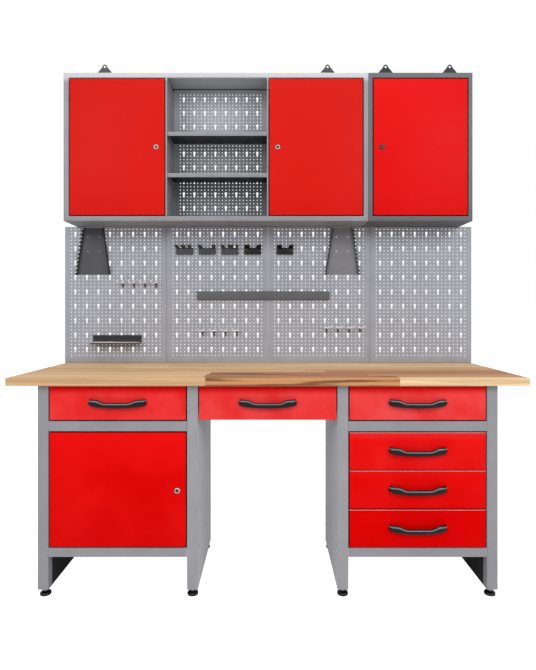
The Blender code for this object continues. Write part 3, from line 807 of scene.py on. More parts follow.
RUNNER_PLAY = 0.0003
MOVING_LIP = 0.0105
MOVING_INSET = 0.0055  # by which the moving channel is lower than the fixed one, above and below
MOVING_SHORT = (0.001, 0.012)  # by which it is shorter, in front and at the rear


def make_drawer(name):
    node = "drawer_" + name
    low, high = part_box(node)
    front_y = low.y
    inset = STACK_GAP if name in TOP_GAPS else SEEN_GAP
    front_low = (low.x + SEEN_GAP, front_y, low.z + inset)
    front_high = (high.x - SEEN_GAP, front_y + FRONT_DEPTH, high.z - TOP_GAPS.get(name, 0))
    front = pan(front_low, front_high, (0, 1, 0), FRONT_FOLD)
    clear, cloudy, reflects, deep = DRAWER_REDS[name]
    painted_light_and_tone = (high.z - PAINTED_TOP_DROP[0], high.z - PAINTED_TOP_DROP[1], deep)
    paint = red_coat("red_" + node, clear, cloudy, reflects, cloud_scale=DRAWER_CLOUD, painted_light_and_tone=painted_light_and_tone)
    piece(node + "_front", facing(front, FRONTWARD), paint, node, [node], SHEET)

    centre = (low.x + high.x) / 2
    box_low = (centre - BOX_WIDTH / 2, front_y + SHEET, low.z + BOX_RISE)
    box_high = (centre + BOX_WIDTH / 2, high.y, high.z - BOX_SHORT)
    box = cube(box_low, box_high)
    lid = [face for face in box.faces if face.normal.z > 0.5]
    rim = [edge for edge in lid[0].edges]
    bmesh.ops.delete(box, geom=lid, context="FACES_ONLY")
    for vert in verts_of(bmesh.ops.extrude_edge_only(box, edges=rim)["geom"]):
        vert.co.x += HEM if vert.co.x < centre else -HEM
        vert.co.y += HEM if vert.co.y < (box_low[1] + box_high[1]) / 2 else -HEM
    piece(node + "_box", facing(bevelled(box, BOX_BEVEL, 2), (0, 0, -1)), GREY_INSIDE, node, sheet=SHEET)
    make_runners(name, centre, front_y, (box_low[2] + box_high[2]) / 2)


def channel(outer_x, inner_x, z, half_height, span):
    """A C of thin sheet along Y, its back at outer_x and its lips pointing to inner_x."""
    line = rectangle(inner_x, z - half_height, outer_x, z + half_height)
    return pulled(rounded(line, RUNNER_FOLD, 2), Y, span)


def make_runners(name, centre, front_y, z):
    for side, word in ((-1, "left"), (1, "right")):
        outer_x = centre + side * RUNNER_OUTER_X
        span = (front_y + RUNNER_SPAN[0], front_y + RUNNER_SPAN[1])
        fixed = channel(outer_x, outer_x - side * RUNNER_LIP, z, RUNNER_HEIGHT / 2, span)
        piece(f"runner_{name}_{word}_fixed", facing(fixed, (side, 0, 0)), ZINC, sheet=SHEET)
        inner_x = centre + side * (BOX_WIDTH / 2 + RUNNER_PLAY)
        reach = inner_x + side * MOVING_LIP
        span = (span[0] - MOVING_SHORT[0], span[1] - MOVING_SHORT[1])
        moving = facing(channel(inner_x, reach, z, RUNNER_HEIGHT / 2 - MOVING_INSET, span), (-side, 0, 0))
        piece(f"runner_{name}_{word}_moving", moving, ZINC, "drawer_" + name, sheet=SHEET)


for name in DRAWER_REDS:
    make_drawer(name)
print("drawers:", len(DRAWER_REDS))

# %% [markdown]
# The bow handle is one moulding. From the front its two ends are tall and sit a little higher, and the grip
# between them is slimmer and hangs lower, like a smile. It is a loft: an oval section that changes its height
# on the way, along a bow seen from above. A tube would have the same section all along.

# %% Handles
HANDLE_POINTS = 40
HANDLE_SIDES = 20
HANDLE_THICK = 0.0155
END_TOP = 0.0165
GRIP_TOP = 0.0048
RISE_SPAN = (0.046, 0.080)
END_BOTTOM = -0.0090
GRIP_BOTTOM = -0.0168
BOW_SQUARENESS = 3.6
OVAL_SQUARENESS = 0.95  # 1 is a true oval, and less is squarer


def smoothstep(value, low, high):
    share = min(1.0, max(0.0, (value - low) / (high - low)))
    return share * share * (3 - 2 * share)


def make_handle(name):
    node = "handle_" + name
    low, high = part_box(node)
    centre = (low + high) / 2
    wall_y = high.y
    half = (high.x - low.x) / 2 - HANDLE_THICK / 2
    out = (high.y - low.y) - HANDLE_THICK / 2
    bm = bmesh.new()
    rings = []
    path = []
    for step in range(HANDLE_POINTS + 1):
        turn = math.pi * step / HANDLE_POINTS
        along = math.copysign(abs(math.cos(turn)) ** (2 / BOW_SQUARENESS), math.cos(turn))
        path.append(Vector((-half * along, -out * math.sin(turn) ** (2 / BOW_SQUARENESS))))
    for count, spot in enumerate(path):
        ahead = path[min(count + 1, len(path) - 1)] - path[max(count - 1, 0)]
        across = Vector((ahead.y, -ahead.x)).normalized()
        top = GRIP_TOP + (END_TOP - GRIP_TOP) * smoothstep(abs(spot.x), *RISE_SPAN)
        bottom = GRIP_BOTTOM + (END_BOTTOM - GRIP_BOTTOM) * (abs(spot.x) / half) ** 2
        ring = []
        for corner in range(HANDLE_SIDES):
            angle = math.tau * corner / HANDLE_SIDES
            cosine, sine = math.cos(angle), math.sin(angle)
            thick = math.copysign(abs(cosine) ** OVAL_SQUARENESS, cosine) * HANDLE_THICK / 2
            tall = math.copysign(abs(sine) ** OVAL_SQUARENESS, sine) * (top - bottom) / 2
            flat = spot + across * thick
            height = centre.z + (top + bottom) / 2 + tall
            ring.append(bm.verts.new((centre.x + flat.x, wall_y + flat.y, height)))
        rings.append(ring)
    for first, second in zip(rings, rings[1:]):
        for corner in range(HANDLE_SIDES):
            after = (corner + 1) % HANDLE_SIDES
            bm.faces.new((first[corner], first[after], second[after], second[corner]))
    bm.faces.new(rings[0])
    bm.faces.new(reversed(rings[-1]))
    bmesh.ops.recalc_face_normals(bm, faces=bm.faces)
    piece(node + "_bow", bm, HANDLE_PLASTIC, "drawer_" + name, [node], smooth=math.radians(50))


for name in DRAWER_REDS:
    make_handle(name)

# %% [markdown]
# A cam lock. Its dark steel plug sits in a ring on a black washer, and the key slot is a real hole in the
# plug's face: the circle and the slot are drawn, the space between them is filled, and the slot's edge is
# pushed in. The plug, its barrel and the cam turn together, so they ride on the lock's body, while the ring,
# the washer and the nut that clamp the lock stay on the door.

# %% Locks
PLUG_RADIUS = 0.0053
BARREL_RADIUS = 0.0076
RING = [(0.0079, 0.0022), (0.0083, 0.0028), (0.0094, 0.0027), (0.0102, 0.0014), (0.0106, 0), (0.0079, 0)]
WASHER_RADIUS = 0.0132
WASHER_Z = (-0.0001, 0.0004)
NUT_RADIUS = 0.0115
NUT_BACK, NUT_FRONT = -0.006, -0.0014
KEY_SLOT = (0.0017, 0.0043)
KEY_DEPTH = 0.006
CAM_HALF = 0.007
CAM_THICK = 0.002
PLUG_SUNK = 0.0006
BARREL_STEP = (0.003, 0.004)  # how deep the plug ends and the wider barrel starts
AXIS_DROP = 0.009  # the plug's middle, below the top of the lock
FACE_OUT = 0.003  # how far the lock's face stands in front of the door
PLAY = 0.0002
CIRCLE_STEPS = 28


def circle(radius, steps=CIRCLE_STEPS, centre=(0, 0)):
    turns = [math.tau * step / steps for step in range(steps)]
    return [(centre[0] + radius * math.cos(turn), centre[1] + radius * math.sin(turn)) for turn in turns]


def filled(outlines, at):
    """A flat sheet: the first outline is its edge, and the others are holes. at places a point."""
    bm = bmesh.new()
    edges = []
    for outline in outlines:
        ring = [bm.verts.new(at(first, second)) for first, second in outline]
        edges += [bm.edges.new((ring[count - 1], ring[count])) for count in range(len(ring))]
    bmesh.ops.triangle_fill(bm, use_beauty=True, use_dissolve=False, edges=edges)
    return bm


def make_ring(name, profile, place, steps, finish, body):
    """Turns a closed profile that doesn't reach the axis."""
    bm = add_turned(bmesh.new(), profile + profile[:1], place, steps)
    bmesh.ops.recalc_face_normals(bm, faces=bm.faces)
    piece(name, bm, finish, body)


def make_lock(door, ring_finish):
    node = door + "_lock"
    low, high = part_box(node)
    x, z = (low.x + high.x) / 2, high.z - AXIS_DROP
    slot_x, slot_z = KEY_SLOT
    key = rectangle(-slot_x, -slot_z, slot_x, slot_z)
    plug_y = low.y + PLUG_SUNK
    bm = filled([circle(PLUG_RADIUS), key], lambda u, v: (x + u, plug_y, z + v))

    def on_slot(vert):
        return abs(vert.co.x - x) < slot_x + 1e-4 and abs(vert.co.z - z) < slot_z + 1e-4

    slot_edges = [edge for edge in bm.edges if edge.is_boundary and all(on_slot(vert) for vert in edge.verts)]
    made = pushed(bm, slot_edges, (0, KEY_DEPTH, 0))
    walls = [item for item in made if isinstance(item, bmesh.types.BMEdge)]
    bottom = [edge for edge in walls if all(vert.co.y > plug_y + KEY_DEPTH / 2 for vert in edge.verts)]
    bmesh.ops.contextual_create(bm, geom=bottom)
    end = plug_y - high.y
    barrel = [(PLUG_RADIUS, 0), (PLUG_RADIUS, -BARREL_STEP[0]), (BARREL_RADIUS, -BARREL_STEP[1])]
    barrel += [(BARREL_RADIUS, end), (0, end)]
    add_turned(bm, barrel, standing((x, plug_y, z), FRONTWARD), CIRCLE_STEPS)
    bmesh.ops.remove_doubles(bm, verts=bm.verts, dist=1e-5)
    bmesh.ops.recalc_face_normals(bm, faces=bm.faces)
    piece(node + "_plug", bm, DARK_STEEL, node, [node])

    place = standing((x, low.y + FACE_OUT, z), FRONTWARD)
    washer = rectangle(RING[0][0], WASHER_Z[1], WASHER_RADIUS, WASHER_Z[0])
    nut = rectangle(BARREL_RADIUS + PLAY, NUT_BACK, NUT_RADIUS, NUT_FRONT)
    make_ring(node + "_ring", RING, place, CIRCLE_STEPS, ring_finish, door)
    make_ring(node + "_washer", washer, place, CIRCLE_STEPS, BLACK_PLASTIC, door)
    make_ring(node + "_nut", nut, place, 6, ZINC, door)
    make_cam(node, x, z, low.z, high.y)


def make_cam(node, x, z, low_z, rear_y):
    """A flat bar with round ends, hanging from the end of the barrel."""
    drop = low_z - z + CAM_HALF
    turns = [math.pi * step / 10 for step in range(11)]
    outline = [(CAM_HALF * math.cos(turn), CAM_HALF * math.sin(turn)) for turn in turns]
    outline += [(-CAM_HALF * math.cos(turn), drop - CAM_HALF * math.sin(turn)) for turn in turns]
    bm = filled([outline], lambda u, v: (x + u, rear_y + PLAY, z + v))
    piece(node + "_cam", facing(bm, FRONTWARD), ZINC, node, sheet=CAM_THICK)


LOCK_RINGS = {
    "bench_door": ZINC_PAINTED_REFLECTION,
    "left_cabinet_door": ZINC_PAINTED_REFLECTION,
    "middle_cabinet_door": ZINC_PAINTED_REFLECTION,
    "right_cabinet_door": DARK_STEEL,
}
for door, ring_finish in LOCK_RINGS.items():
    make_lock(door, ring_finish)
print("locks:", len(LOCK_RINGS))

# %% [markdown]
# A door is the same pan as a drawer front, only larger. Inside it has two hinge leaves, folded plates that
# carry the pins. A flat door that big would look dead in one even red, so its paint is cloudy, and the tone
# differs a little between the bench, the wide cabinet and the narrow one.

# %% Doors
DOOR_PAINTS = {
    "bench_door": RED_BENCH_DOOR,
    "left_cabinet_door": RED_CABINET,
    "middle_cabinet_door": RED_CABINET,
    "right_cabinet_door": RED_NARROW,
}
LEAF = (0.022, 0.060)
LEAF_INSET = 0.070
LEAF_FOLD = 0.0015
LEAF_SHEET = 0.0009
LEAF_IN = 0.0012  # from the door's folded edge
LEAF_BEHIND = 0.0022  # the door's face
LEAF_SHORT = 0.002  # of the fold's rear edge


def make_door(name, paint):
    low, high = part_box(name)
    inset = Vector((SEEN_GAP, 0, SEEN_GAP))
    door = pan(low + inset, high - inset, (0, 1, 0), FRONT_FOLD)
    piece(name + "_pan", facing(door, FRONTWARD), paint, name, [name], SHEET)
    hinge_right = name in ("middle_cabinet_door", "right_cabinet_door")
    edge = high.x - SEEN_GAP - SHEET if hinge_right else low.x + SEEN_GAP + SHEET
    inward = -1 if hinge_right else 1
    leaves = bmesh.new()
    for z in (low.z + LEAF_INSET, high.z - LEAF_INSET):
        fold_x, plate_y = edge + inward * LEAF_IN, low.y + LEAF_BEHIND
        line = [(edge + inward * LEAF[0], plate_y), (fold_x, plate_y), (fold_x, high.y - LEAF_SHORT)]
        plate = pulled(rounded(line, LEAF_FOLD, 2), Z, (z - LEAF[1] / 2, z + LEAF[1] / 2))
        facing(plate, (0, 1, 0))
        scratch = bpy.data.meshes.new("leaf")
        plate.to_mesh(scratch)
        plate.free()
        leaves.from_mesh(scratch)
        bpy.data.meshes.remove(scratch)
    piece(name + "_hinge_leaves", leaves, ZINC, name, sheet=LEAF_SHEET)


for name, paint in DOOR_PAINTS.items():
    make_door(name, paint)
print("doors:", len(DOOR_PAINTS))

# %% [markdown]
# A cabinet case is one pan, open at the wall, with a window cut in its front. The frame round the window has
# its own small lip, which stiffens it. So the front starts as a flat ring of four faces. Its outer edges are
# pulled back to make the case, its inner edges a little to make the lip, and all folds are rounded.

# %% Cabinet cases
LIP_DEPTH = 0.012
CASES = {
    "wide_cabinet": ((-0.9195, 0.441), GREY_WIDE),
    "narrow_cabinet": ((0.482, 0.924), GREY_NARROW),
}
WINDOW_Z = (1.543, 2.181)


def make_case(name, window_x, finish):
    low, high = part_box(name + "_shell")
    bm = bmesh.new()
    outer = [bm.verts.new((x, low.y, z)) for x, z in rectangle(low.x, low.z, high.x, high.z)]
    window = rectangle(window_x[0], WINDOW_Z[0], window_x[1], WINDOW_Z[1])
    inner = [bm.verts.new((x, low.y, z)) for x, z in window]
    for count in range(4):
        bm.faces.new((outer[count - 1], outer[count], inner[count], inner[count - 1]))
    for ring, depth in ((outer, high.y - low.y), (inner, LIP_DEPTH)):
        pushed(bm, [bm.edges.get((ring[count - 1], ring[count])) for count in range(4)], (0, depth, 0))
    facing(bm, FRONTWARD)
    folds = [edge for edge in bm.edges if len(edge.link_faces) == 2 and edge.calc_face_angle() > 0.5]
    bmesh.ops.bevel(bm, geom=folds, offset=FOLD, segments=FOLD_STEPS, profile=0.5, affect="EDGES")
    piece(name + "_case", bm, finish, replaces=[name + "_shell"], sheet=SHEET)


for name, (window_x, finish) in CASES.items():
    make_case(name, window_x, finish)
    low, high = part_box(name + "_shell")
    print(name, "case:", [round(value, 3) for value in high - low])

# %% [markdown]
# The punched pattern. It repeats every three columns and four rows: the middle column has a keyhole, whose
# wide head takes a hook's rivet and whose slot lets it drop, and every other cell a round hole. So one tile
# of three by four cells is drawn with its true outlines, and copied until the sheet is covered. The tile's
# copies share their corners exactly, so they weld into one clean sheet.

# %% Punched sheets
HOLE_RADIUS = 0.0026
HEAD_RADIUS = 0.0063
SLOT_HALF = 0.0036
HOLE_STEPS = 10
TILE_COLUMNS, TILE_ROWS = 3, 4


def keyhole(centre_x, head_z, drop):
    """A round head, and a slot with a round end that is drop below the head's centre."""
    neck = math.asin(SLOT_HALF / HEAD_RADIUS)
    start, end = -math.pi / 2 + neck, 1.5 * math.pi - neck
    outline = []
    for step in range(HOLE_STEPS + 1):
        angle = start + (end - start) * step / HOLE_STEPS
        outline.append((centre_x + HEAD_RADIUS * math.cos(angle), head_z + HEAD_RADIUS * math.sin(angle)))
    for step in range(6):
        angle = math.pi + math.pi * step / 5
        outline.append((centre_x + SLOT_HALF * math.cos(angle), head_z - drop + SLOT_HALF * math.sin(angle)))
    return outline


def punched_tile(pitch_x, pitch_z):
    """The corners and faces of one tile, from (0, 0) to its width and height."""
    width, height = TILE_COLUMNS * pitch_x, TILE_ROWS * pitch_z
    outlines = [rectangle(0, 0, width, height)]
    for column in range(TILE_COLUMNS):
        for row in range(TILE_ROWS):
            x, z = (column + 0.5) * pitch_x, height - (row + 0.5) * pitch_z
            if column == 1 and row == 1:
                outlines.append(keyhole(x, z, pitch_z))
            elif not (column == 1 and row == 2):
                outlines.append(circle(HOLE_RADIUS, HOLE_STEPS, (x, z)))
    bm = filled(outlines, lambda u, v: (u, 0, v))
    bm.verts.index_update()
    corners = [vert.co.copy() for vert in bm.verts]
    faces = [[vert.index for vert in face.verts] for face in bm.faces]
    bm.free()
    return corners, faces, width, height


def punched_sheet(low, high, y, across, up, pitch_x, pitch_z, raised):
    """A sheet from low to high in X and Z, with across by up tiles, raised above its middle."""
    corners, faces, width, height = punched_tile(pitch_x, pitch_z)
    start_x = (low[0] + high[0] - across * width) / 2
    start_z = (low[1] + high[1] - up * height) / 2 + raised
    all_corners, all_faces = [], []
    for column in range(across):
        for row in range(up):
            shift = Vector((start_x + column * width, y, start_z + row * height))
            base = len(all_corners)
            all_corners += [corner + shift for corner in corners]
            all_faces += [[base + index for index in face] for face in faces]
    mesh = bpy.data.meshes.new("scratch")
    mesh.from_pydata(all_corners, [], all_faces)
    bm = bmesh.new()
    bm.from_mesh(mesh)
    bpy.data.meshes.remove(mesh)
    bmesh.ops.remove_doubles(bm, verts=bm.verts, dist=1e-5)
    end_x, end_z = start_x + across * width, start_z + up * height

    def on(value, *limits):
        return any(abs(value - limit) < 1e-5 for limit in limits)

    def on_rim(vert):
        return on(vert.co.x, start_x, end_x) or on(vert.co.z, start_z, end_z)

    rim = [edge for edge in bm.edges if edge.is_boundary and all(on_rim(vert) for vert in edge.verts)]
    for vert in verts_of(bmesh.ops.extrude_edge_only(bm, edges=rim)["geom"]):
        if on(vert.co.x, start_x, end_x):
            vert.co.x = low[0] if vert.co.x < (start_x + end_x) / 2 else high[0]
        if on(vert.co.z, start_z, end_z):
            vert.co.z = low[1] if vert.co.z < (start_z + end_z) / 2 else high[1]
    return bm


# %% [markdown]
# A tool panel is a punched sheet whose four edges are folded back 15 mm, so that it stands off the wall and
# hooks find room behind it. Four pan-head screws, one near each corner, fix it.

# %% Tool panels
PANEL_TILES = (8, 9)
PANEL_PITCH = (0.01895, 0.0177)
PANEL_RAISED = 0.0125
SCREW_HEAD = [(0, 0.0022), (0.0020, 0.0021), (0.0036, 0.0014), (0.0043, 0.0004), (0.0043, -0.0004)]
PANEL_FOLD = 0.0012
PANEL_SHEET = 0.0010
SCREW_X = 0.0325
SCREW_Z = (0.0265, 0.0050)  # above the lower edge, and below the upper one


def make_panel(count):
    node = f"tool_panel_{count}"
    low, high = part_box(node)
    bm = punched_sheet((low.x, low.z), (high.x, high.z), low.y, *PANEL_TILES, *PANEL_PITCH, PANEL_RAISED)

    def outside(edge):
        first, second = edge.verts
        return any(
            abs(first.co[axis] - limit) < 1e-6 and abs(second.co[axis] - limit) < 1e-6
            for axis, limit in ((X, low.x), (X, high.x), (Z, low.z), (Z, high.z))
        )

    edges = [edge for edge in bm.edges if edge.is_boundary and outside(edge)]
    pushed(bm, edges, (0, high.y - low.y, 0))
    facing(bm, FRONTWARD)
    folds = [edge for edge in bm.edges if len(edge.link_faces) == 2 and edge.calc_face_angle() > 0.5]
    bmesh.ops.bevel(bm, geom=folds, offset=PANEL_FOLD, segments=2, profile=0.5, affect="EDGES")
    made = piece(f"{node}_sheet", bm, PANEL_GREY, replaces=[node], sheet=PANEL_SHEET)

    screws = bmesh.new()
    for x in (low.x + SCREW_X, high.x - SCREW_X):
        for z in (low.z + SCREW_Z[0], high.z - SCREW_Z[1]):
            add_turned(screws, SCREW_HEAD, standing((x, low.y, z), FRONTWARD), 14)
    piece(f"{node}_screws", screws, ZINC)
    return len(made.data.polygons)


for count in range(1, 5):
    print("tool panel", count, "faces:", make_panel(count))

# %% [markdown]
# The cabinets' backs. Tongues of the back sheet stand above each case, and the cabinet hangs from the hole in
# their tip. Behind the open bay the back is punched like the tool panels, but a little finer, so it is a
# sheet of its own, set into an opening of the plain back.

# %% Cabinet backs
TONGUE_HALF = 0.0345
SHOULDER_Z = 2.286
TIP_RADIUS = 0.012
TONGUE_HOLE = 0.0055
TONGUES = {"wide_cabinet": (-0.808, 0.294), "narrow_cabinet": (0.581, 0.898)}
TONGUE_GREYS = {"wide_cabinet": (64, 65, 68), "narrow_cabinet": (32, 33, 36)}
TONGUE_FADE = (2.176, 2.190)  # between these heights the sheet goes from its own grey to the tongues'
CASE_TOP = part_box("wide_cabinet_shell")[1].z
BAY = (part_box("left_divider")[1].x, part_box("right_divider")[0].x)
BAY_TILES = (8, 9)
BAY_PITCH = (0.0173, 0.0168)
BAY_RAISED = 0.018
BAY_SEAM = 0.0003


def make_back(name, opening=None):
    low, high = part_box(name + "_back")
    tip_z = high.z - TIP_RADIUS
    turns = [math.pi * step / 12 for step in range(13)]
    outline = [(low.x, low.z), (high.x, low.z), (high.x, CASE_TOP)]
    holes = []
    for x in sorted(TONGUES[name], reverse=True):
        outline += [(x + TONGUE_HALF, CASE_TOP), (x + TONGUE_HALF, SHOULDER_Z)]
        outline += [(x + TIP_RADIUS * math.cos(turn), tip_z + TIP_RADIUS * math.sin(turn)) for turn in turns]
        outline += [(x - TONGUE_HALF, SHOULDER_Z), (x - TONGUE_HALF, CASE_TOP)]
        holes.append(circle(TONGUE_HOLE, 20, (x, tip_z)))
    outline.append((low.x, CASE_TOP))
    if opening:
        holes.append(rectangle(*opening))
    bm = facing(filled([outline, *holes], lambda u, v: (u, low.y, v)), FRONTWARD)
    painted_light_and_tone = (*TONGUE_FADE, TONGUE_GREYS[name])
    finish = powder_coat(name + "_back_grey", "grey_coat", (128, 129, 134), (135, 136, 141), painted_light_and_tone=painted_light_and_tone)
    piece(name + "_back_sheet", bm, finish, replaces=[name + "_back"], sheet=high.y - low.y)


case_low, case_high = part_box("wide_cabinet_shell")
bay_low = (BAY[0] + 0.0005, case_low.z + 0.006)
bay_high = (BAY[1] - 0.0005, case_high.z - 0.006)
make_back("wide_cabinet", (*bay_low, *bay_high))
make_back("narrow_cabinet")
# Painted light: the open bay's punched back is painted lighter towards its top.
BAY_PAINTED_LIGHT = (1.72, 2.02, (182, 183, 190))
BAY_GREY = powder_coat("panel_bay_grey", "panel_coat", (122, 123, 129), (130, 131, 137), 0.4, painted_light_and_tone=BAY_PAINTED_LIGHT)
sheet_low = [value + BAY_SEAM for value in bay_low]
sheet_high = [value - BAY_SEAM for value in bay_high]
back_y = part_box("wide_cabinet_back")[0].y
bay_sheet = punched_sheet(sheet_low, sheet_high, back_y, *BAY_TILES, *BAY_PITCH, BAY_RAISED)
bay = piece("open_bay_back", facing(bay_sheet, FRONTWARD), BAY_GREY, sheet=PANEL_SHEET)
print("open bay back faces:", len(bay.data.polygons))

# %% [markdown]
# Dividers and shelves. The dividers' narrow front folds frame the open bay, and small slots near their front
# and rear take the pegs that the shelves lie on. A shelf's front is folded down and back under itself, and
# that edge is the light line across the bay. Its underside lies in deep shade, which on the open
# bay's shelves is painted into the finish as an almost black shade.

# %% Dividers and shelves
SHELF_LIP = 0.020
PEG_ROWS = 9
PEG_SLOT = (0.0025, 0.006)
PEG_INSETS = (0.035, 0.030)


def make_divider(name, door_side):
    low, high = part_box(name)
    sheet_x = high.x if door_side < 0 else low.x
    pitch = (high.z - low.z) / (PEG_ROWS + 1)
    half_y, half_z = PEG_SLOT
    slots = []
    for row in range(PEG_ROWS):
        for y in (low.y + PEG_INSETS[0], high.y - PEG_INSETS[1]):
            z = low.z + (row + 1) * pitch
            slots.append(rectangle(y - half_y, z - half_z, y + half_y, z + half_z))
    outline = rectangle(low.y, low.z, high.y, high.z)
    bm = filled([outline, *slots], lambda u, v: (sheet_x, u, v))
    rim = [edge for edge in bm.edges if edge.is_boundary]
    front = [edge for edge in rim if all(abs(vert.co.y - low.y) < 1e-6 for vert in edge.verts)]
    pushed(bm, front, (door_side * (high.x - low.x), 0, 0))
    facing(bm, (-door_side, 0, 0))
    piece(name + "_sheet", bm, GREY_WIDE, replaces=[name], sheet=SHEET)


def make_shelf(node, finish):
    low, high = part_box(node)
    line = [(high.y, high.z), (low.y, high.z), (low.y, low.z), (low.y + SHELF_LIP / 2, low.z)]
    bm = facing(pulled(rounded(line), X, (low.x, high.x)), (0, 0, 1))
    piece(node + "_sheet", bm, finish, replaces=[node], sheet=SHEET)


# Painted shade: the open bay shelves' downward faces are painted almost black.
SHELF_PAINTED_SHADE = [("Z", -0.4, -0.8, (34, 35, 37))]
SHELF_LIGHT = powder_coat("grey_shelf", "grey_coat", (130, 132, 136), (138, 140, 144), painted_light_facets=SHELF_PAINTED_SHADE)
make_divider("left_divider", -1)
make_divider("right_divider", 1)
for node in ("open_bay_upper_shelf", "open_bay_lower_shelf"):
    make_shelf(node, SHELF_LIGHT)
for node in ("left_bay_shelf", "right_bay_shelf", "narrow_cabinet_shelf"):
    make_shelf(node, GREY_INSIDE)
print("open bay:", [round(value, 3) for value in BAY])

# %% [markdown]
# What hangs on the panels. The two wrench holders are plates that widen downwards. A flange along each
# slanted side is cut into teeth that slope like a saw's and are bent a little outwards, so that a wrench lies
# in each gap. A flange is laid out as how far down and how far out, and then put between its two edges.

# %% Wrench holders
TEETH = 12
TOOTH_DEPTH = 0.016
TOOTH_GAP = 0.50  # the share of a tooth's pitch that is cut away
TOOTH_BEND = 0.0090
HOLDER_HOLE_RADIUS = 0.0030
TIP_SHARE = 0.25  # how wide a tooth's tip is, as a share of its root
HOLDER_SHEET = 0.0015
HOLDER_TOP_HALF = 0.050
HOLDER_BOTTOM_HALF = 0.083
HOLDER_LEAN = 0.006
HOLDER_HOLES = [(across, drop) for drop in (0.045, 0.116) for across in (-0.029, 0.029)]


def toothed(place, root):
    """A strip with a saw's teeth beyond root. place makes a point of how far down and how far out."""
    bm = bmesh.new()
    for tooth in range(TEETH):
        start, notch, end = tooth / TEETH, (tooth + TOOTH_GAP) / TEETH, (tooth + 1) / TEETH
        tip = end - TIP_SHARE * (end - notch)
        for corners in (
            [(start, 0), (start, root), (notch, root), (notch, 0)],
            [(notch, 0), (notch, root), (end, root), (end, 0)],
            [(notch, root), (tip, 1), (end, 1), (end, root)],
        ):
            bm.faces.new([bm.verts.new(place(*corner)) for corner in corners])
    bmesh.ops.remove_doubles(bm, verts=bm.verts, dist=1e-5)
    return bm


def make_wrench_holder(node):
    low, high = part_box(node)
    centre = (low.x + high.x) / 2
    plate_y = high.y
    holes = [circle(HOLDER_HOLE_RADIUS, 12, (centre + across, high.z - drop)) for across, drop in HOLDER_HOLES]
    outline = [(centre - HOLDER_BOTTOM_HALF, low.z), (centre + HOLDER_BOTTOM_HALF, low.z)]
    outline += [(centre + HOLDER_TOP_HALF, high.z), (centre - HOLDER_TOP_HALF, high.z)]
    bm = filled([outline, *holes], lambda u, v: (u, plate_y, v))
    facing(bm, FRONTWARD)
    piece(node + "_plate", bm, HOLDER_GREYS[node], replaces=[node], sheet=HOLDER_SHEET)
    for side, word in ((-1, "left"), (1, "right")):
        top = Vector((centre + side * HOLDER_TOP_HALF, plate_y, high.z))
        bottom = Vector((centre + side * HOLDER_BOTTOM_HALF, plate_y, low.z))
        out = Vector((-side * HOLDER_LEAN, low.y - plate_y, 0))
        root = 1 - TOOTH_DEPTH / out.length

        def place(down, reach):
            bend = max(0, reach - root) / (1 - root) * TOOTH_BEND
            return top + (bottom - top) * down + out * reach + Vector((side * bend, 0, 0))

        bm = facing(toothed(place, root), (side, 0, 0))
        flange = piece(f"{node}_flange_{word}", bm, TOOTH_GREY, sheet=HOLDER_SHEET)
    return len(flange.data.polygons)


HOLDER_GREYS = {
    node: powder_coat(name, "dark_coat", colour, cloudy, roughness=0.5)
    for node, name, colour, cloudy in (
        ("wrench_holder_left", "holder_grey", (75, 76, 80), (83, 84, 88)),
        ("wrench_holder_right", "holder_grey_light", (122, 123, 128), (130, 131, 136)),
    )
}
TOOTH_GREY = powder_coat("holder_tooth_grey", "dark_coat", (36, 37, 40), (44, 45, 48), roughness=0.5)
for node in HOLDER_GREYS:
    print(node, "flange faces:", make_wrench_holder(node))

# %% [markdown]
# A long bar like this one holds tools by magnets behind its face. It is a channel with rounded folds and
# closed ends. The small shelf is a bracket with a lip, and a light zinc strip along the lip's top is a painted
# highlight of its edge.

# %% Tool bar and small shelf
BAR_FOLD = 0.003
BRACKET_LIP = 0.012
EDGE_BEVEL = 0.0005
EDGE_INSET = 0.001
EDGE_Y = (-0.0008, 0.0006)  # from the lip's face
EDGE_Z = (-0.006, 0.0006)  # from the shelf's top


def make_tool_bar():
    low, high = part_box("tool_bar")
    body = pan(low, high, (0, 1, 0), BAR_FOLD)
    paint = powder_coat("tool_bar_grey", "dark_coat", (88, 89, 92), (96, 97, 100), roughness=0.5)
    piece("tool_bar_cover", facing(body, FRONTWARD), paint, replaces=["tool_bar"], sheet=HOLDER_SHEET)


def make_small_shelf():
    low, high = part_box("small_shelf")
    shelf_z = low.z + BRACKET_LIP
    line = [(high.y, high.z), (high.y, shelf_z), (low.y, shelf_z), (low.y, low.z)]
    bm = facing(pulled(rounded(line, BAR_FOLD), X, (low.x, high.x)), (0, 0, 1))
    piece("small_shelf_bracket", bm, TOOTH_GREY, replaces=["small_shelf"], sheet=HOLDER_SHEET)
    # Painted highlight: a light zinc strip along the top of the lip.
    edge_low = (low.x + EDGE_INSET, low.y + EDGE_Y[0], shelf_z + EDGE_Z[0])
    edge_high = (high.x - EDGE_INSET, low.y + EDGE_Y[1], shelf_z + EDGE_Z[1])
    piece("small_shelf_edge", bevelled(cube(edge_low, edge_high), EDGE_BEVEL, 2), ZINC)


make_tool_bar()
make_small_shelf()

# %% [markdown]
# Five small holders near the top, each a plate with flat fingers that slant up and forward from its upper
# edge. They differ in where their fingers are and how wide. The twelve double hooks are bent from one wire
# each: a bar across, both ends turned forward and up, and behind the bar a dark foot in front of a keyhole.

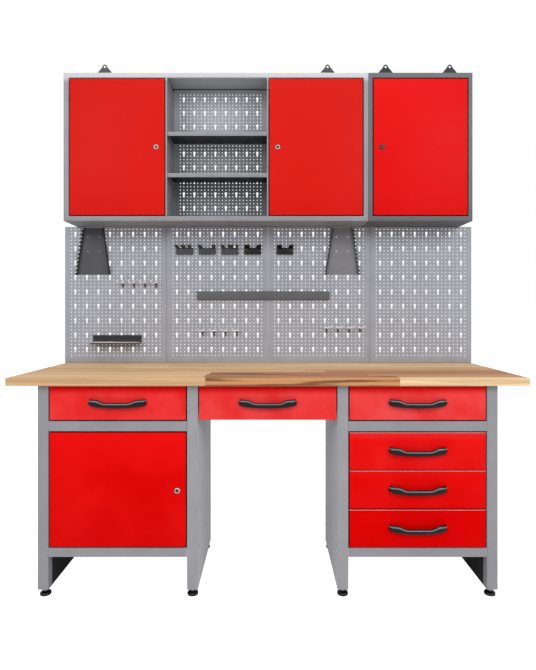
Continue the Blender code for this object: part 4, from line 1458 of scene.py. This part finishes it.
# %% Small holders and hooks
PANEL_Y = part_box("tool_panel_1")[0].y
PLATE_HALF = 0.0412
PLATE_Z = (1.3825, 1.4165)
PLATE_OUT = 0.010
PLATE_BACK = 0.0003
PLATE_FOLD = 0.002
FINGER_ROOT = (0.001, 0.004)  # behind the plate's face, and below its top
FINGER_SHEET = 0.0025
FINGER_REACH = 0.030
FINGER_RISE = 0.011
FINGER_NECK = 0.85  # the share of its reach where a finger's cut corners start
FINGER_CUT = 0.003
# Each holder: where it is, and its fingers as (middle at the plate, middle at the tip, half width).
SMALL_HOLDERS = {
    "1": (-0.410, [(-0.032, -0.037, 0.0085), (-0.004, -0.005, 0.0100), (0.026, 0.027, 0.0090)]),
    "2": (-0.299, [(-0.031, -0.034, 0.0100), (0.031, 0.034, 0.0100)]),
    "3": (-0.187, [(-0.032, -0.035, 0.0085), (0.004, 0.004, 0.0140), (0.034, 0.036, 0.0070)]),
    "4": (-0.076, [(-0.026, -0.027, 0.0140), (0.028, 0.032, 0.0120)]),
    "5": (0.0825, [(-0.026, -0.028, 0.0130), (0.028, 0.031, 0.0110)]),
}


def make_small_holder(word):
    x, fingers = SMALL_HOLDERS[word]
    low_z, high_z = PLATE_Z
    front = PANEL_Y - PLATE_OUT
    plate_high = (x + PLATE_HALF, PANEL_Y - PLATE_BACK, high_z)
    body = pan((x - PLATE_HALF, front, low_z), plate_high, (0, 1, 0), PLATE_FOLD)
    finish = BLACK_PLASTIC if word in "45" else DARK_COAT
    piece(f"small_holder_{word}_plate", facing(body, FRONTWARD), finish, sheet=HOLDER_SHEET)
    root = Vector((x, front + FINGER_ROOT[0], high_z - FINGER_ROOT[1]))
    tip = Vector((x, front - FINGER_REACH, high_z + FINGER_RISE))

    def at(across, along):
        return root.lerp(tip, along) + Vector((across, 0, 0))

    for count, (near, far, half) in enumerate(fingers):
        tip_half = half - FINGER_CUT
        corners = [(near - half, 0), (near + half, 0), (far + half, FINGER_NECK), (far + tip_half, 1)]
        corners += [(far - tip_half, 1), (far - half, FINGER_NECK)]
        bm = facing(filled([corners], at), (0, 0, 1))
        piece(f"small_holder_{word}_finger_{count + 1}", bm, finish, sheet=FINGER_SHEET)


HOOK_WIRE = 0.0031
HOOK_ROWS = [(-0.714, 0.0545, 1.2440, -1), (-0.3210, 0.0555, 1.0080, -1), (0.2860, 0.0550, 1.0220, 1)]
HOOKS_IN_ROW = 4
HOOK_HALF = 0.0135
HOOK_BACK = 0.006  # from the wire's middle to the panel
HOOK_ARM = (0.003, -0.028, 0.001)  # from the bar to the bend, with the lean first
HOOK_TIP = (0.003, -0.004, 0.010)  # from the bend to the tip
HOOK_BEND = 0.0045
FOOT_HALF = 0.0036
FOOT_Y = (0.0010, 0.0045)
FOOT_Z = (-0.023, 0.003)
FOOT_BEVEL = 0.0010


def make_hook(count, x, z, lean):
    """lean says to which side the two tips bend."""
    y = PANEL_Y - HOOK_BACK
    halves = []
    for side in (-1, 1):
        base = Vector((x + side * HOOK_HALF, y, z))
        bend = base + Vector((lean * HOOK_ARM[0], *HOOK_ARM[1:]))
        tip = bend + Vector((lean * HOOK_TIP[0], *HOOK_TIP[1:]))
        halves.append([Vector((x, y, z)), base, bend, tip])
    whole = list(reversed(halves[0])) + halves[1][1:]
    wire(f"hook_{count}_wire", whole, HOOK_WIRE, ZINC_PAINTED_REFLECTION, HOOK_BEND)
    foot_low = (x - FOOT_HALF, y + FOOT_Y[0], z + FOOT_Z[0])
    foot_high = (x + FOOT_HALF, y + FOOT_Y[1], z + FOOT_Z[1])
    piece(f"hook_{count}_foot", bevelled(cube(foot_low, foot_high), FOOT_BEVEL, 2), DARK_COAT)


for word in SMALL_HOLDERS:
    make_small_holder(word)
for row, (first_x, pitch, z, lean) in enumerate(HOOK_ROWS):
    for place in range(HOOKS_IN_ROW):
        make_hook(row * HOOKS_IN_ROW + place + 1, first_x + place * pitch, z, lean)
print("small holders:", len(SMALL_HOLDERS), "hooks:", len(HOOK_ROWS) * HOOKS_IN_ROW)

# %% [markdown]
# The floor is plain and pale. The camera sees it glow, so that it stays white everywhere, even round the feet
# and far from the lamps. For the object the same floor doesn't glow, or it would light up the underside of
# the pedestals, which lies in deep shade.

# %% Floor
FLOOR_GLOW = 0.94
FLOOR_SIZE = 9


def make_floor():
    material = bpy.data.materials.new("studio_floor")
    material.use_nodes = True
    tree = material.node_tree
    tree.nodes.clear()
    seen = put(tree, "ShaderNodeLightPath")
    pale = put(tree, "ShaderNodeBsdfPrincipled", {"Base Color": (0.9, 0.9, 0.9, 1), "Roughness": 0.8})
    pale.inputs["Emission Color"].default_value = (1, 1, 1, 1)
    pale.inputs["Emission Strength"].default_value = FLOOR_GLOW
    dull = put(tree, "ShaderNodeBsdfDiffuse", {"Color": (0.85, 0.85, 0.85, 1)})
    share = seen.outputs["Is Camera Ray"]
    mixed = put(tree, "ShaderNodeMixShader", {0: share, 1: dull.outputs[0], 2: pale.outputs[0]})
    put(tree, "ShaderNodeOutputMaterial", {"Surface": mixed.outputs[0]})
    bm = bmesh.new()
    bmesh.ops.create_grid(bm, x_segments=4, y_segments=4, size=FLOOR_SIZE)
    mesh = bpy.data.meshes.new("floor")
    bm.to_mesh(mesh)
    bm.free()
    mesh.materials.append(material)
    floor = bpy.data.objects.new("floor", mesh)
    bpy.context.scene.collection.objects.link(floor)


make_floor()
